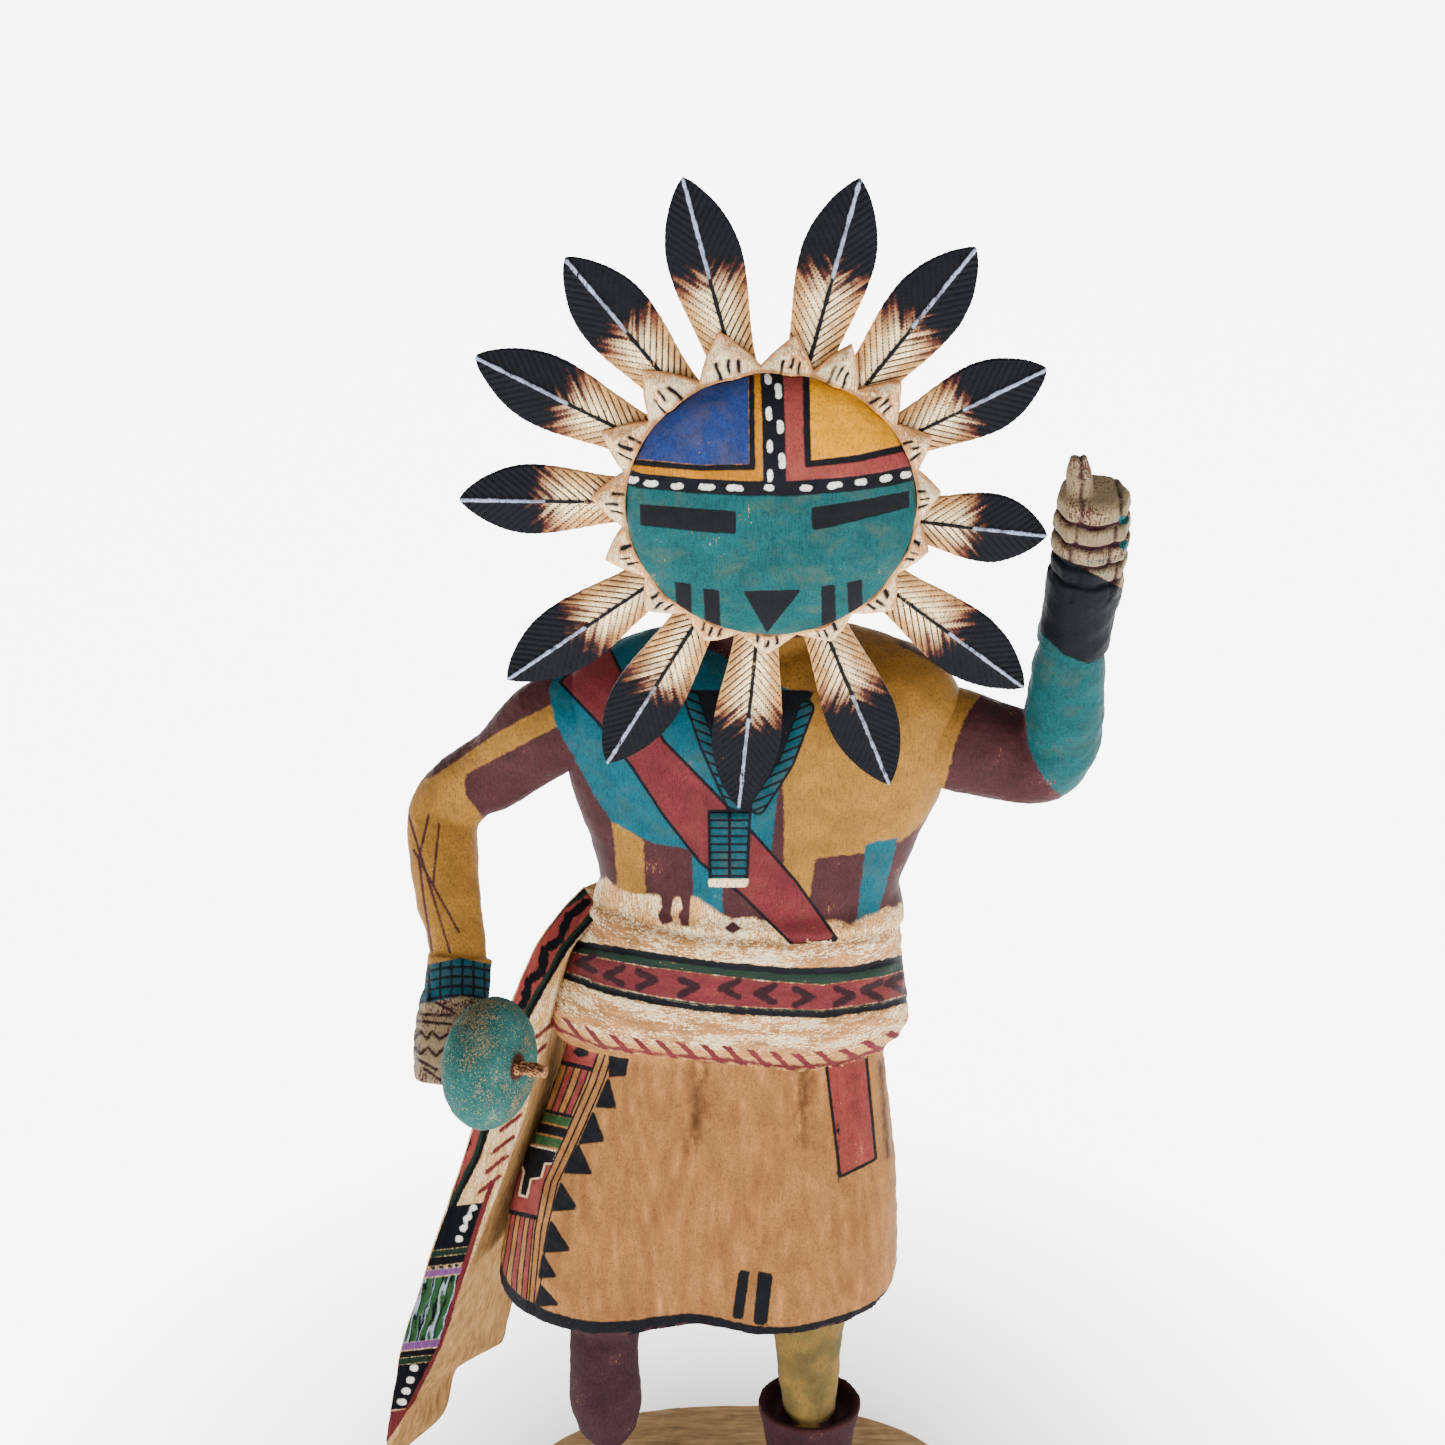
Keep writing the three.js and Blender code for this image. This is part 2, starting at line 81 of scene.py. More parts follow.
def stroke(px, py, points, width):
    nearest = np.full(px.shape, 1e9)
    for (ax, ay), (bx, by) in zip(points[:-1], points[1:]):
        ex, ey = bx - ax, by - ay
        t = np.clip(((px - ax) * ex + (py - ay) * ey) / (ex * ex + ey * ey + 1e-9), 0, 1)
        nearest = np.minimum(nearest, np.hypot(px - ax - t * ex, py - ay - t * ey))
    return nearest - width / 2


def strokes(px, py, lines, width):
    return either(*[stroke(px, py, line, width) for line in lines])


def spots(px, py, places, width):
    return strokes(px, py, [[(x - 1, y), (x + 1, y)] for x, y in places], width)


def levelAt(px, line):      # how far down a drawn line is, at each place across
    return np.interp(px, [p[0] for p in line], [p[1] for p in line])


def acrossAt(py, line):     # how far right a drawn line is, at each level
    return np.interp(py, [p[1] for p in line], [p[0] for p in line])


def between(value, low, high):
    return np.maximum(low - value, value - high)


def either(*fields):
    return np.minimum.reduce(fields)


def both(*fields):
    return np.maximum.reduce(fields)


def dent(distance, width):
    return np.exp(-(distance / width) ** 2)


def squarish(wave, power):      # a sine or cosine bent towards a square's corners
    return np.sign(wave) * np.abs(wave) ** power


def turns(count):
    return np.arange(count) * 2 * math.pi / count


def lumps(points, size, seed):      # smooth even noise from a few crossed waves, about -1 to 1
    rng = np.random.default_rng(seed)
    total = np.zeros(len(points))
    for _ in range(7):
        way = rng.normal(size=3)
        way /= np.linalg.norm(way)
        total += np.sin(points @ way * (2 * math.pi / size) * rng.uniform(0.7, 1.5) + rng.uniform(0, 6.3))
    return total / 3.5


# Meshes

def makeObject(name, verts, faces):
    mesh = bpy.data.meshes.new(name)
    mesh.from_pydata((np.asarray(verts) * mm).tolist(), [], faces)
    mesh.update()
    mesh.polygons.foreach_set("use_smooth", [True] * len(mesh.polygons))
    obj = bpy.data.objects.new(name, mesh)
    bpy.context.scene.collection.objects.link(obj)
    return obj


def ringSkin(rings):        # vertices and faces of a closed skin over rings of points
    rings = np.asarray(rings, dtype=float)
    rows, count = rings.shape[:2]
    verts = rings.reshape(-1, 3).tolist()
    faces = []
    for i in range(rows - 1):
        for j in range(count):
            n = (j + 1) % count
            faces.append((i * count + j, i * count + n, (i + 1) * count + n, (i + 1) * count + j))
    for row, turned in ((0, True), (rows - 1, False)):
        verts.append(rings[row].mean(axis=0).tolist())
        centre = len(verts) - 1
        for j in range(count):
            a, b = row * count + j, row * count + (j + 1) % count
            faces.append((centre, b, a) if turned else (centre, a, b))
    return outward(verts, faces)


def outward(verts, faces):
    p = np.asarray(verts)
    volume = 0.0
    for f in faces:
        for i in range(1, len(f) - 1):
            volume += float(np.dot(p[f[0]], np.cross(p[f[i]], p[f[i + 1]])))
    return verts, (faces if volume > 0 else [tuple(reversed(f)) for f in faces])


def easeThrough(knots, values, at):     # smooth curve through values, flat at its turning points
    knots, values = np.asarray(knots, float), np.asarray(values, float)
    steps = np.diff(knots)
    slopes = np.diff(values) / steps
    tangent = np.zeros(len(knots))
    for i in range(1, len(knots) - 1):
        if slopes[i - 1] * slopes[i] > 0:
            tangent[i] = 2 * slopes[i - 1] * slopes[i] / (slopes[i - 1] + slopes[i])
    tangent[0], tangent[-1] = slopes[0], slopes[-1]
    i = np.clip(np.searchsorted(knots, at, side="right") - 1, 0, len(knots) - 2)
    t = np.clip((at - knots[i]) / steps[i], 0, 1)
    a, b = values[i], values[i + 1]
    return ((2 * t**3 - 3 * t**2 + 1) * a + (t**3 - 2 * t**2 + t) * steps[i] * tangent[i]
            + (3 * t**2 - 2 * t**3) * b + (t**3 - t**2) * steps[i] * tangent[i + 1])


def trunk(stations, sides, rows, dipX=0.0, dipWidth=1.0):
    keys = ("z", "left", "right", "front", "back", "power", "dip")
    table = {key: [s[i] if i < len(s) else 0.0 for s in stations] for i, key in enumerate(keys)}
    heights = table["z"]
    angles = turns(sides)
    c, d = np.cos(angles), np.sin(angles)
    rings = []
    for z in np.linspace(heights[0], heights[-1], rows):
        s = {key: easeThrough(heights, table[key], z) for key in keys}
        u = squarish(c, 2 / s["power"])
        w = squarish(d, 2 / s["power"])
        x = (s["left"] + s["right"]) / 2 + (s["right"] - s["left"]) / 2 * u
        reach = np.where(d < 0, -s["front"], s["back"])
        dip = np.where(d < 0, s["dip"] * dent(x - dipX, dipWidth), 0)
        rings.append(np.stack([x, w * (reach - dip), np.full(sides, z + soleZ)], axis=1))
    return ringSkin(rings)


def curveThrough(points, at):       # centripetal curve, as the solids follow
    p = np.asarray(points, float)
    first, last = 2 * p[0] - p[1], 2 * p[-1] - p[-2]
    p = np.vstack([first, p, last])
    place = np.clip(at, 0, 1) * (len(points) - 1)
    i = min(int(place), len(points) - 2)
    t = place - i
    a, b, c, d = p[i:i + 4]
    k = [0.0]
    for m, n in ((a, b), (b, c), (c, d)):
        k.append(k[-1] + max(np.linalg.norm(n - m), 1e-6) ** 0.5)
    x = k[1] + t * (k[2] - k[1])
    one = (k[1] - x) / (k[1] - k[0]) * a + (x - k[0]) / (k[1] - k[0]) * b
    two = (k[2] - x) / (k[2] - k[1]) * b + (x - k[1]) / (k[2] - k[1]) * c
    three = (k[3] - x) / (k[3] - k[2]) * c + (x - k[2]) / (k[3] - k[2]) * d
    four = (k[2] - x) / (k[2] - k[0]) * one + (x - k[0]) / (k[2] - k[0]) * two
    five = (k[3] - x) / (k[3] - k[1]) * two + (x - k[1]) / (k[3] - k[1]) * three
    return (k[2] - x) / (k[2] - k[1]) * four + (x - k[1]) / (k[2] - k[1]) * five


def limb(stops, side, sides=40, rows=60):
    centres = [s[:3] for s in stops]
    side = np.asarray(side, float)
    angles = turns(sides)
    rings = []
    for t in np.linspace(0, 1, rows):
        at = curveThrough(centres, t)
        along = curveThrough(centres, min(t + 0.01, 1)) - curveThrough(centres, max(t - 0.01, 0))
        along /= np.linalg.norm(along)
        wide = side - along * side.dot(along)
        wide /= np.linalg.norm(wide)
        deep = np.cross(along, wide)
        place = min(t * (len(stops) - 1), len(stops) - 1.0001)
        i, part = int(place), place - int(place)
        ease = part * part * (3 - 2 * part)
        a = stops[i][3] + (stops[i + 1][3] - stops[i][3]) * ease
        b = stops[i][4] + (stops[i + 1][4] - stops[i][4]) * ease
        ring = at + np.outer(np.cos(angles) * a, wide) + np.outer(np.sin(angles) * b, deep)
        rings.append(ring + [0, 0, soleZ])
    return ringSkin(rings)


def gather(shells):
    verts, faces = [], []
    for v, f in shells:
        start = len(verts)
        verts.extend(v)
        faces.extend(tuple(start + i for i in face) for face in f)
    return verts, faces


def oneSkin(name, shells, voxel, smoothing):       # melts shells into one even skin
    verts, faces = gather(shells)
    rough = makeObject(name + "Rough", verts, faces)
    remesh = rough.modifiers.new("skin", "REMESH")
    remesh.mode = "VOXEL"
    remesh.voxel_size = voxel * mm
    remesh.use_smooth_shade = True
    soften = rough.modifiers.new("soften", "SMOOTH")
    soften.factor = 0.5
    soften.iterations = smoothing
    graph = bpy.context.evaluated_depsgraph_get()
    mesh = bpy.data.meshes.new_from_object(rough.evaluated_get(graph))
    mesh.name = name
    bpy.data.objects.remove(rough)
    obj = bpy.data.objects.new(name, mesh)
    bpy.context.scene.collection.objects.link(obj)
    return obj


def readVectors(items, key):
    flat = np.empty(len(items) * 3, dtype=np.float32)
    items.foreach_get(key, flat)
    return flat.reshape(-1, 3).astype(float)


def readPoints(obj):        # vertex places in millimetres
    return readVectors(obj.data.vertices, "co") / mm


def pushPoints(obj, offset):        # moves each vertex along its normal, in millimetres
    normals = readVectors(obj.data.vertex_normals, "vector")
    moved = (readPoints(obj) + normals * offset[:, None]) * mm
    obj.data.vertices.foreach_set("co", moved.astype(np.float32).ravel())
    obj.data.update()


def refine(obj, wanted):        # splits the faces in two each way where their vertices are wanted
    mesh = bmesh.new()
    mesh.from_mesh(obj.data)
    edges = [e for e in mesh.edges if wanted[e.verts[0].index] and wanted[e.verts[1].index]]
    bmesh.ops.subdivide_edges(mesh, edges=edges, cuts=1, use_grid_fill=True)
    mesh.to_mesh(obj.data)
    mesh.free()
    obj.data.update()


def setField(obj, name, values):
    layer = obj.data.attributes.new(name, "FLOAT", "POINT")
    layer.data.foreach_set("value", np.asarray(values, dtype=np.float32))


# Shaders

def paint(red, green, blue):        # 0 to 255 screen colour to linear
    parts = [c / 255 for c in (red, green, blue)]
    return tuple(c / 12.92 if c <= 0.04045 else ((c + 0.055) / 1.055) ** 2.4 for c in parts) + (1.0,)


def tint(rgb, share):
    return paint(*[min(255, c * share) for c in rgb])


class Wire:     # one socket, with the sums that can be made with it
    def __init__(self, shader, socket):
        self.shader, self.socket = shader, socket

    def math(self, operation, *others, clamp=False):
        sockets = dict(enumerate((self,) + others))
        made = self.shader.node("ShaderNodeMath", {"operation": operation, "use_clamp": clamp}, sockets)
        return self.shader.out(made, 0)

    def __add__(self, other):
        return self.math("ADD", other)

    def __radd__(self, other):
        return self.math("ADD", other)

    def __sub__(self, other):
        return self.math("SUBTRACT", other)

    def __rsub__(self, other):
        return self.shader.number("SUBTRACT", other, self)

    def __mul__(self, other):
        return self.math("MULTIPLY", other)

    def __rmul__(self, other):
        return self.math("MULTIPLY", other)

    def __truediv__(self, other):
        return self.math("DIVIDE", other)

    def clamp(self):
        return self.math("ADD", 0.0, clamp=True)

    def size(self):
        return self.math("ABSOLUTE")

    def fraction(self):
        return self.math("FRACT")

    def atLeast(self, other):
        return self.math("MAXIMUM", other)



class Shader:
    def __init__(self, name):
        self.material = bpy.data.materials.new(name)
        self.material.use_nodes = True
        self.tree = self.material.node_tree
        self.tree.nodes.clear()

    def node(self, kind, settings=None, sockets=None):
        made = self.tree.nodes.new(kind)
        for key, value in (settings or {}).items():
            setattr(made, key, value)
        for key, value in (sockets or {}).items():
            if isinstance(value, Wire):
                self.tree.links.new(value.socket, made.inputs[key])
            else:
                made.inputs[key].default_value = value
        return made

    def out(self, made, key):
        return Wire(self, made.outputs[key])

    def number(self, operation, *values):
        made = self.node("ShaderNodeMath", {"operation": operation}, dict(enumerate(values)))
        return self.out(made, 0)

    def field(self, name):
        made = self.node("ShaderNodeAttribute", {"attribute_name": name, "attribute_type": "GEOMETRY"})
        return self.out(made, "Fac")

    def places(self, stretch=(1, 1, 1)):        # millimetres in the doll's frame
        coordinates = self.node("ShaderNodeTexCoord")
        scaled = self.node("ShaderNodeVectorMath", {"operation": "MULTIPLY"},
                           {0: self.out(coordinates, "Object"), 1: tuple(s / mm for s in stretch)})
        return self.out(scaled, 0)

    def noise(self, places, size, detail=3.0, rough=0.55, distort=0.0):
        made = self.node("ShaderNodeTexNoise", None, {
            "Vector": places, "Scale": 1.0 / size, "Detail": detail, "Roughness": rough,
            "Distortion": distort})
        return self.out(made, "Fac")

    def mix(self, factor, first, second, blend="MIX"):
        made = self.node("ShaderNodeMix", {"data_type": "RGBA", "blend_type": blend},
                         {0: factor, 6: first, 7: second})
        return self.out(made, 2)


def edgeOf(s, coat):        # how far outside its shape a coat is: an area, a line, or lines at a pitch
    edge = s.field(coat["field"])
    if "pitch" in coat:
        edge = ((edge / coat["pitch"]).fraction() - 0.5).size() * coat["pitch"] - coat["line"]
    elif "line" in coat:
        edge = edge.size() - coat["line"]
    if "within" in coat:
        edge = edge.atLeast(s.field(coat["within"]))
    return edge


# Sizes of the noises that mark the paint and wood, in millimetres
noiseSize = {"grain": 1.6, "fibre": 0.36, "blotch": 8.0, "streak": 3.0, "fine": 0.55, "edge": 1.8,
             "grime": 7.0, "speck": 0.7, "rings": 30.0}
darkest = 60        # brighter coats than this gather grime


# Paint on wood: coats are laid in order, each where its field is below zero, with a hand-drawn edge.
# worn lets the wood show, from a few specks at 0.4 to half of it at 0.9, and groove sinks the coat.
# soft is the width of its edge and wobble how far that strays. line and pitch paint only lines, within
# another field. streaky draws the wear out along the grain.
def paintedWood(name, coats, wood=(190, 150, 105), grain=(1, 1, 0.12), roughness=0.62, speckle=0.0,
                bumpSize=0.3, figure=0.0, shine=0.15, streaky=False):
    s = Shader(name)
    flat = s.places()
    lengthwise = s.places(grain)
    grainNoise = s.noise(lengthwise, noiseSize["grain"], 6.0, 0.6, 0.4)
    fibre = s.noise(lengthwise, noiseSize["fibre"])
    if streaky:
        blotch = s.noise(lengthwise, noiseSize["streak"], 4.0)
    else:
        blotch = s.noise(flat, noiseSize["blotch"], 4.0)
    fine = s.noise(flat, noiseSize["fine"], 3.0, 0.65)
    wobbleNoise = s.noise(flat, noiseSize["edge"])
    grime = (s.noise(flat, noiseSize["grime"], 4.0, 0.65, 0.4) * 4.0 - 1.9).clamp() * 0.5
    colour = s.mix((grainNoise * 2.2 - 0.6).clamp(), tint(wood, 0.66), tint(wood, 1.1))
    colour = s.mix((fibre * 1.8 - 0.7).clamp() * 0.45, colour, tint(wood, 0.72))
    rub = fibre * 6.0 + fine * 5.0 + blotch * 7.0
    flecks = (fine * 6.0 - 2.8).clamp() * 0.45 + (fibre * 6.0 - 2.9).clamp() * 0.4
    height = fibre * 0.2 + grainNoise * 0.22 + fine * 0.16
    gloss = fine * 0.18 + (roughness - 0.09)
    for coat in coats:
        rgb = coat["colour"]
        shade = s.mix((blotch * 2.4 - 0.7).clamp(), tint(rgb, 0.84), tint(rgb, 1.08))
        shade = s.mix(flecks, shade, tint(rgb, 0.6))
        if max(rgb) > darkest:
            shade = s.mix(grime, shade, paint(*[c * 0.42 + w * 0.3 for c, w in zip(rgb, wood)]))
        amount = 1.0 - (rub + (4.4 * coat["worn"] - 12.6)).clamp()
        if coat.get("field"):
            edge = edgeOf(s, coat) + (wobbleNoise - 0.5) * 2 * coat["wobble"]
            mask = (0.5 - edge / coat["soft"]).clamp()
            amount = mask * amount
            if coat.get("groove"):
                height = height - mask * coat["groove"]
        colour = s.mix(amount, colour, shade)
    if speckle:
        specks = (s.noise(flat, noiseSize["speck"], 2.0) * 9.0 - 5.9).clamp()
        colour = s.mix(specks * speckle, colour, paint(70, 50, 35))
    if figure:
        ringNoise = s.noise(s.places((1, 1, 0.3)), noiseSize["rings"], 1.0)
        rings = ((ringNoise * 14.0).fraction() - 0.5).size() * 2.0
        colour = s.mix(rings * figure, colour, (0.5, 0.36, 0.26, 1), "MULTIPLY")
    bump = s.node("ShaderNodeBump", None, {"Strength": 0.5, "Distance": bumpSize * mm, "Height": height})
    shading = s.node("ShaderNodeBsdfPrincipled", None, {
        "Base Color": colour, "Roughness": gloss.clamp(), "Normal": s.out(bump, 0),
        "Specular IOR Level": 0.3, "IOR": 1 + shine})
    s.node("ShaderNodeOutputMaterial", None, {"Surface": s.out(shading, 0)})
    return s.material


colours = {
    "turquoise": (12, 64, 66), "sky": (10, 70, 82), "deepTurquoise": (12, 58, 68), "blue": (30, 46, 92),
    "ochre": (188, 126, 2), "band": (156, 98, 10), "brick": (116, 48, 46), "strap": (88, 32, 36),
    "black": (14, 15, 19), "white": (214, 212, 204), "maroon": (56, 30, 32), "mustard": (128, 90, 36),
    "bone": (222, 200, 160), "green": (24, 38, 30), "leafGreen": (34, 70, 40), "lilac": (100, 62, 112),
    "tan": (138, 94, 52), "boot": (50, 30, 34), "leg": (112, 88, 44), "slate": (88, 76, 42),
    "cream": (234, 208, 160), "gold": (174, 130, 80), "rust": (78, 34, 28), "barb": (56, 34, 24),
    "quill": (140, 150, 172), "hand": (118, 102, 78), "gourd": (28, 76, 74), "wine": (36, 17, 21),
    # foldShadeBrown is the dark brown of the painted fold shade on the kilt
    "sand": (122, 106, 76), "foldShadeBrown": (112, 70, 36),
}


def coat(colour, field, worn, soft=1.0, wobble=1.2, **more):
    return {"colour": colours[colour], "field": field, "worn": worn, "soft": soft, "wobble": wobble, **more}


print("tools ready")


# The mask: backing disc, ruff of pointed petals and domed face, worked in circles round the face's middle

mask = {
    "middle": (5.35, 353.0), "radius": 32.6, "squash": 0.95, "rise": 9.5, "sides": 512,
    "backY": -26.0, "backDepth": 4.0, "backRadius": 31.0, "ruffDepth": 3.2, "ruffValley": 34.0,
    "petalRidge": 2.7, "petalEdge": 0.7, "petalSlope": 1.3, "faceSunk": 0.9,
}
# each petal tip's angle clockwise from the top, in degrees, and its radius
ruffTips = [(7, 41.4), (24, 43), (43.5, 41.4), (65, 39.4), (86, 38.4), (109, 38.2), (134, 39.6),
            (158, 38.8), (181, 39.2), (203, 39), (226, 40), (249, 40.4), (272, 40.8), (295, 42),
            (319, 43.6), (344.5, 43.6)]


def maskPlace(angle, radius, y):
    return (mask["middle"][0] + radius * math.sin(angle), y,
            mask["middle"][1] + radius * mask["squash"] * math.cos(angle))


def petalAt(degrees):       # nearest petal's tip radius, and how far across it this angle lies, -1 to 1
    turns = [(degrees - tip[0] + 180) % 360 - 180 for tip in ruffTips]
    best = min(range(len(turns)), key=lambda i: abs(turns[i]))
    after = turns[best] > 0
    beside = ruffTips[(best + (1 if after else -1)) % len(ruffTips)][0]
    half = abs((beside - ruffTips[best][0] + 180) % 360 - 180) / 2
    return best, max(-1.0, min(1.0, turns[best] / half)), ruffTips[best][1]


def makeMask():
    m = mask
    ruffY = m["backY"] - m["backDepth"]
    rimY = ruffY - m["ruffDepth"]
    rings = []
    fields = {"maskRadius": [], "petalAcross": [], "petalOut": [], "petalEdge": []}
    profile = [("back", 0.02), ("back", 1.0)]
    profile += [("ruffBack", t) for t in np.linspace(0, 1, 4)]
    profile += [("ruff", t) for t in np.linspace(0, 1, 26)]
    profile += [("face", t) for t in np.linspace(0, 1, 60)]
    for kind, t in profile:
        ring = []
        for j in range(m["sides"]):
            degrees = 360 * j / m["sides"]
            angle = math.radians(degrees)
            petal, across, tip = petalAt(degrees)
            edge = m["ruffValley"] + (tip - m["ruffValley"]) * (1 - abs(across))
            outT, y = 0.0, m["backY"]
            if kind == "back":
                r = m["backRadius"] * t
            elif kind == "ruffBack":
                r = m["backRadius"] + (edge - m["backRadius"]) * t
                y = ruffY
                outT = 1.0
            elif kind == "ruff":
                r = edge + (m["radius"] + 0.3 - edge) * t
                outT = (r - m["radius"]) / (tip - m["radius"])
                ridge = (1 - abs(across)) * (m["petalRidge"] + 0.3 * math.sin(petal * 2.7))
                y = ruffY - m["petalEdge"] - (1 - outT) * m["petalSlope"] - ridge * min(1, 3 * t) * 0.95
            else:
                r = m["radius"] * math.cos(t * math.pi / 2 * 0.985) ** 0.9
                y = rimY + m["faceSunk"] - (m["rise"] + m["faceSunk"]) * math.sin(t * math.pi / 2) ** 0.85
            ring.append(maskPlace(angle, r, y))
            fields["maskRadius"].append(r)
            fields["petalAcross"].append(across)
            fields["petalOut"].append(outT if kind in ("ruff", "ruffBack") else -1.0)
            fields["petalEdge"].append((edge - r) * 0.75 if kind == "ruff" else -1.0)
        rings.append(ring)
    verts, faces = ringSkin(rings)
    obj = makeObject("sun_mask", verts, faces)
    for name in fields:
        fields[name] += [fields[name][0], fields[name][-1]]
    radius = np.array(fields["maskRadius"])
    across, outT = np.array(fields["petalAcross"]), np.array(fields["petalOut"])
    places = readPoints(obj)
    u, v = photoPlace(places)
    front = (radius < m["radius"] + 0.05) & (places[:, 1] < rimY + 1)
    offFace = np.where(front, -50.0, 50.0)
    paintFace(obj, u, v, offFace, radius)
    petalEdge = np.array(fields["petalEdge"]) + lumps(places, 5.0, 8) * 0.25
    setField(obj, "ruffPaint", np.where(front, 40.0, both(0.4 - petalEdge, 33.7 - radius) * 4))
    marks = np.full(len(u), 50.0)
    wave = lumps(places, 6.0, 9)
    for offset in (-0.36, 0.0, 0.36):
        lane = np.abs(across + 0.05 * wave - offset * (1 - 0.4 * outT)) - 0.065
        marks = np.minimum(marks, both(lane, np.abs(outT - 0.36 - 0.06 * wave + 0.3 * abs(offset)) - 0.2))
    marks = np.where(front | (outT < 0), 50.0, marks * 12)
    setField(obj, "ruffMarks", marks)
    wobble = lumps(places, 7.0, 3) * 0.10 + lumps(places, 2.6, 5) * 0.05
    cut = np.where(marks < 0, -0.16, 0.0)
    pushPoints(obj, wobble + cut)
    coats = [
        coat("bone", "ruffPaint", 0.9, 1.6, 2.4),
        coat("black", "ruffMarks", 0.1, 0.8, 0.4, groove=1.0),
        coat("turquoise", "faceAll", 0.32, 1.2, 0.6),
        coat("band", "faceBands", 0.42, 1.5, 1.2),
        coat("blue", "faceBlue", 0.42, 1.6, 1.2),
        coat("ochre", "faceOchre", 0.38, 1.6, 1.2),
        coat("brick", "faceRed", 0.4, 1.6, 1.2),
        coat("black", "faceBlack", 0.05, 1.5, 1.1, groove=0.7),
        coat("white", "faceDashes", 0.4, 1.3, 2.2),
        coat("black", "faceFeatures", 0.05, 1.2, 0.9, groove=0.9),
    ]
    obj.data.materials.append(paintedWood("maskPaint", coats, wood=(186, 132, 84), roughness=0.58))
    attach(obj, "root")
    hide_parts("mask")


# The face's drawing, in pixels of the view
faceDrawing = {
    "bandMiddle": [(610, 470), (640, 480.5), (700, 486), (740, 488), (790, 488.5), (850, 484),
                   (885, 479), (935, 468)],
    "stemMiddle": [(771, 360), (773.5, 420), (775, 488)],
    "blueField": [(600, 350), (748, 350), (749.5, 464), (700, 465), (634, 459), (600, 440)],
    "blueEdge": [(751, 350), (752.5, 467), (700, 468), (634, 462), (612, 452)],
    "bandField": [(600, 350), (763, 350), (763, 486), (700, 485), (634, 478), (600, 462)],
    "redField": [(780, 350), (804, 350), (809, 466), (905, 444), (940, 438), (940, 472), (880, 480),
                 (800, 488), (784, 488)],
    "ochreField": [(807, 350), (920, 350), (935, 436), (905, 447), (808, 463)],
    "ochreEdge": [(805.5, 350), (808, 464), (860, 458), (908, 447), (930, 441)],
    "eyeLeft": [(640, 504), (736, 511), (736, 534), (700, 531.5), (640, 525)],
    "eyeRight": [(811, 507.5), (860, 500), (909, 490.5), (909.5, 507), (860, 520), (812, 530.5)],
    "mouth": [(743, 591), (801, 589.5), (767, 633)],
    "cheeks": [[(675, 582), (691, 584), (692, 617), (677, 611)],
               [(703, 588), (719, 591), (721, 628), (705, 623)],
               [(821, 586), (835, 584), (836, 624), (822, 628.5)],
               [(847, 583), (862, 579), (862.5, 610), (849, 619)]],
    # middle, half length and lean of each white dash
    "dashes": [(633, 480, 2, 0), (651, 483.5, 4, 0), (677, 486, 3, 0), (707, 487, 5, 0),
               (735, 488, 5, 0), (769, 488, 2, 0), (806, 488, 3, 0), (835, 485.5, 4, -0.1),
               (860.5, 482, 3, -0.1), (886, 478.5, 3, -0.2), (906, 475, 2, -0.2), (768, 379, 2, 1.5),
               (769, 414, 3.5, 1.5), (769.6, 447, 3.5, 1.5), (770, 475, 3, 1.5), (778, 391, 5, 1.5),
               (780, 427, 4, 1.5), (782, 461, 5, 1.5)],
}


def paintFace(obj, u, v, offFace, radius):
    d = faceDrawing
    across = stroke(u, v, d["bandMiddle"], 15)
    stem = stroke(u, v, d["stemMiddle"], 23)
    upper = v - levelAt(u, d["bandMiddle"])
    setField(obj, "faceAll", offFace)
    setField(obj, "faceBands", both(area(u, v, d["bandField"]), upper, offFace))
    setField(obj, "faceBlue", both(area(u, v, d["blueField"]), upper, offFace))
    setField(obj, "faceOchre", both(area(u, v, d["ochreField"]), upper, offFace))
    setField(obj, "faceRed", both(area(u, v, d["redField"]), upper, offFace))
    edges = either(stroke(u, v, d["blueEdge"], 6), stroke(u, v, d["ochreEdge"], 7))
    setField(obj, "faceBlack", both(either(across, both(stem, upper), both(edges, upper)), offFace))
    dashes = [stroke(u, v, [(x - size * math.cos(lean), y - size * math.sin(lean)),
                            (x + size * math.cos(lean), y + size * math.sin(lean))], 6.2)
              for x, y, size, lean in d["dashes"]]
    setField(obj, "faceDashes", both(either(*dashes), offFace))
    features = [area(u, v, d[name]) for name in ("eyeLeft", "eyeRight", "mouth")]
    features += [area(u, v, bar) for bar in d["cheeks"]]
    setField(obj, "faceFeatures", both(either(*features), offFace))


makeMask()
print("mask made")


# The feathers, each cut with barbs on both faces

feather = {
    "rootWidth": 10.6, "width": 17.0, "thickness": 3.2, "edge": 1.2, "start": 31.5, "frontY": -29.7,
    "rows": 150, "columns": 32, "barbPitch": 2.05, "barbSlope": 1.15, "barbDepth": 0.34, "barbNotch": 0.07,
    "ridge": 0.8, "widest": 0.58, "tipPower": 0.72, "blackFrom": 0.5, "quillHeight": 0.3, "quillHalf": 0.75,
}
featherFan = [(-15, 75.5), (14, 75), (37, 72.5), (63, 68), (98, 63.6), (128, 76), (158, 78), (185, 79),
              (210, 77), (234, 76), (270, 70.5), (297, 73.5), (321, 71.5)]


def featherHalf(t):
    root, full, widest = feather["rootWidth"] / 2, feather["width"] / 2, feather["widest"]
    if t < widest:
        c = t / widest
        return root + (full - root) * c * c * (3 - 2 * c)
    tip = max(0.0, math.cos(math.pi / 2 * (t - widest) / (1 - widest)))
    return max(full * tip ** feather["tipPower"], 0.3)


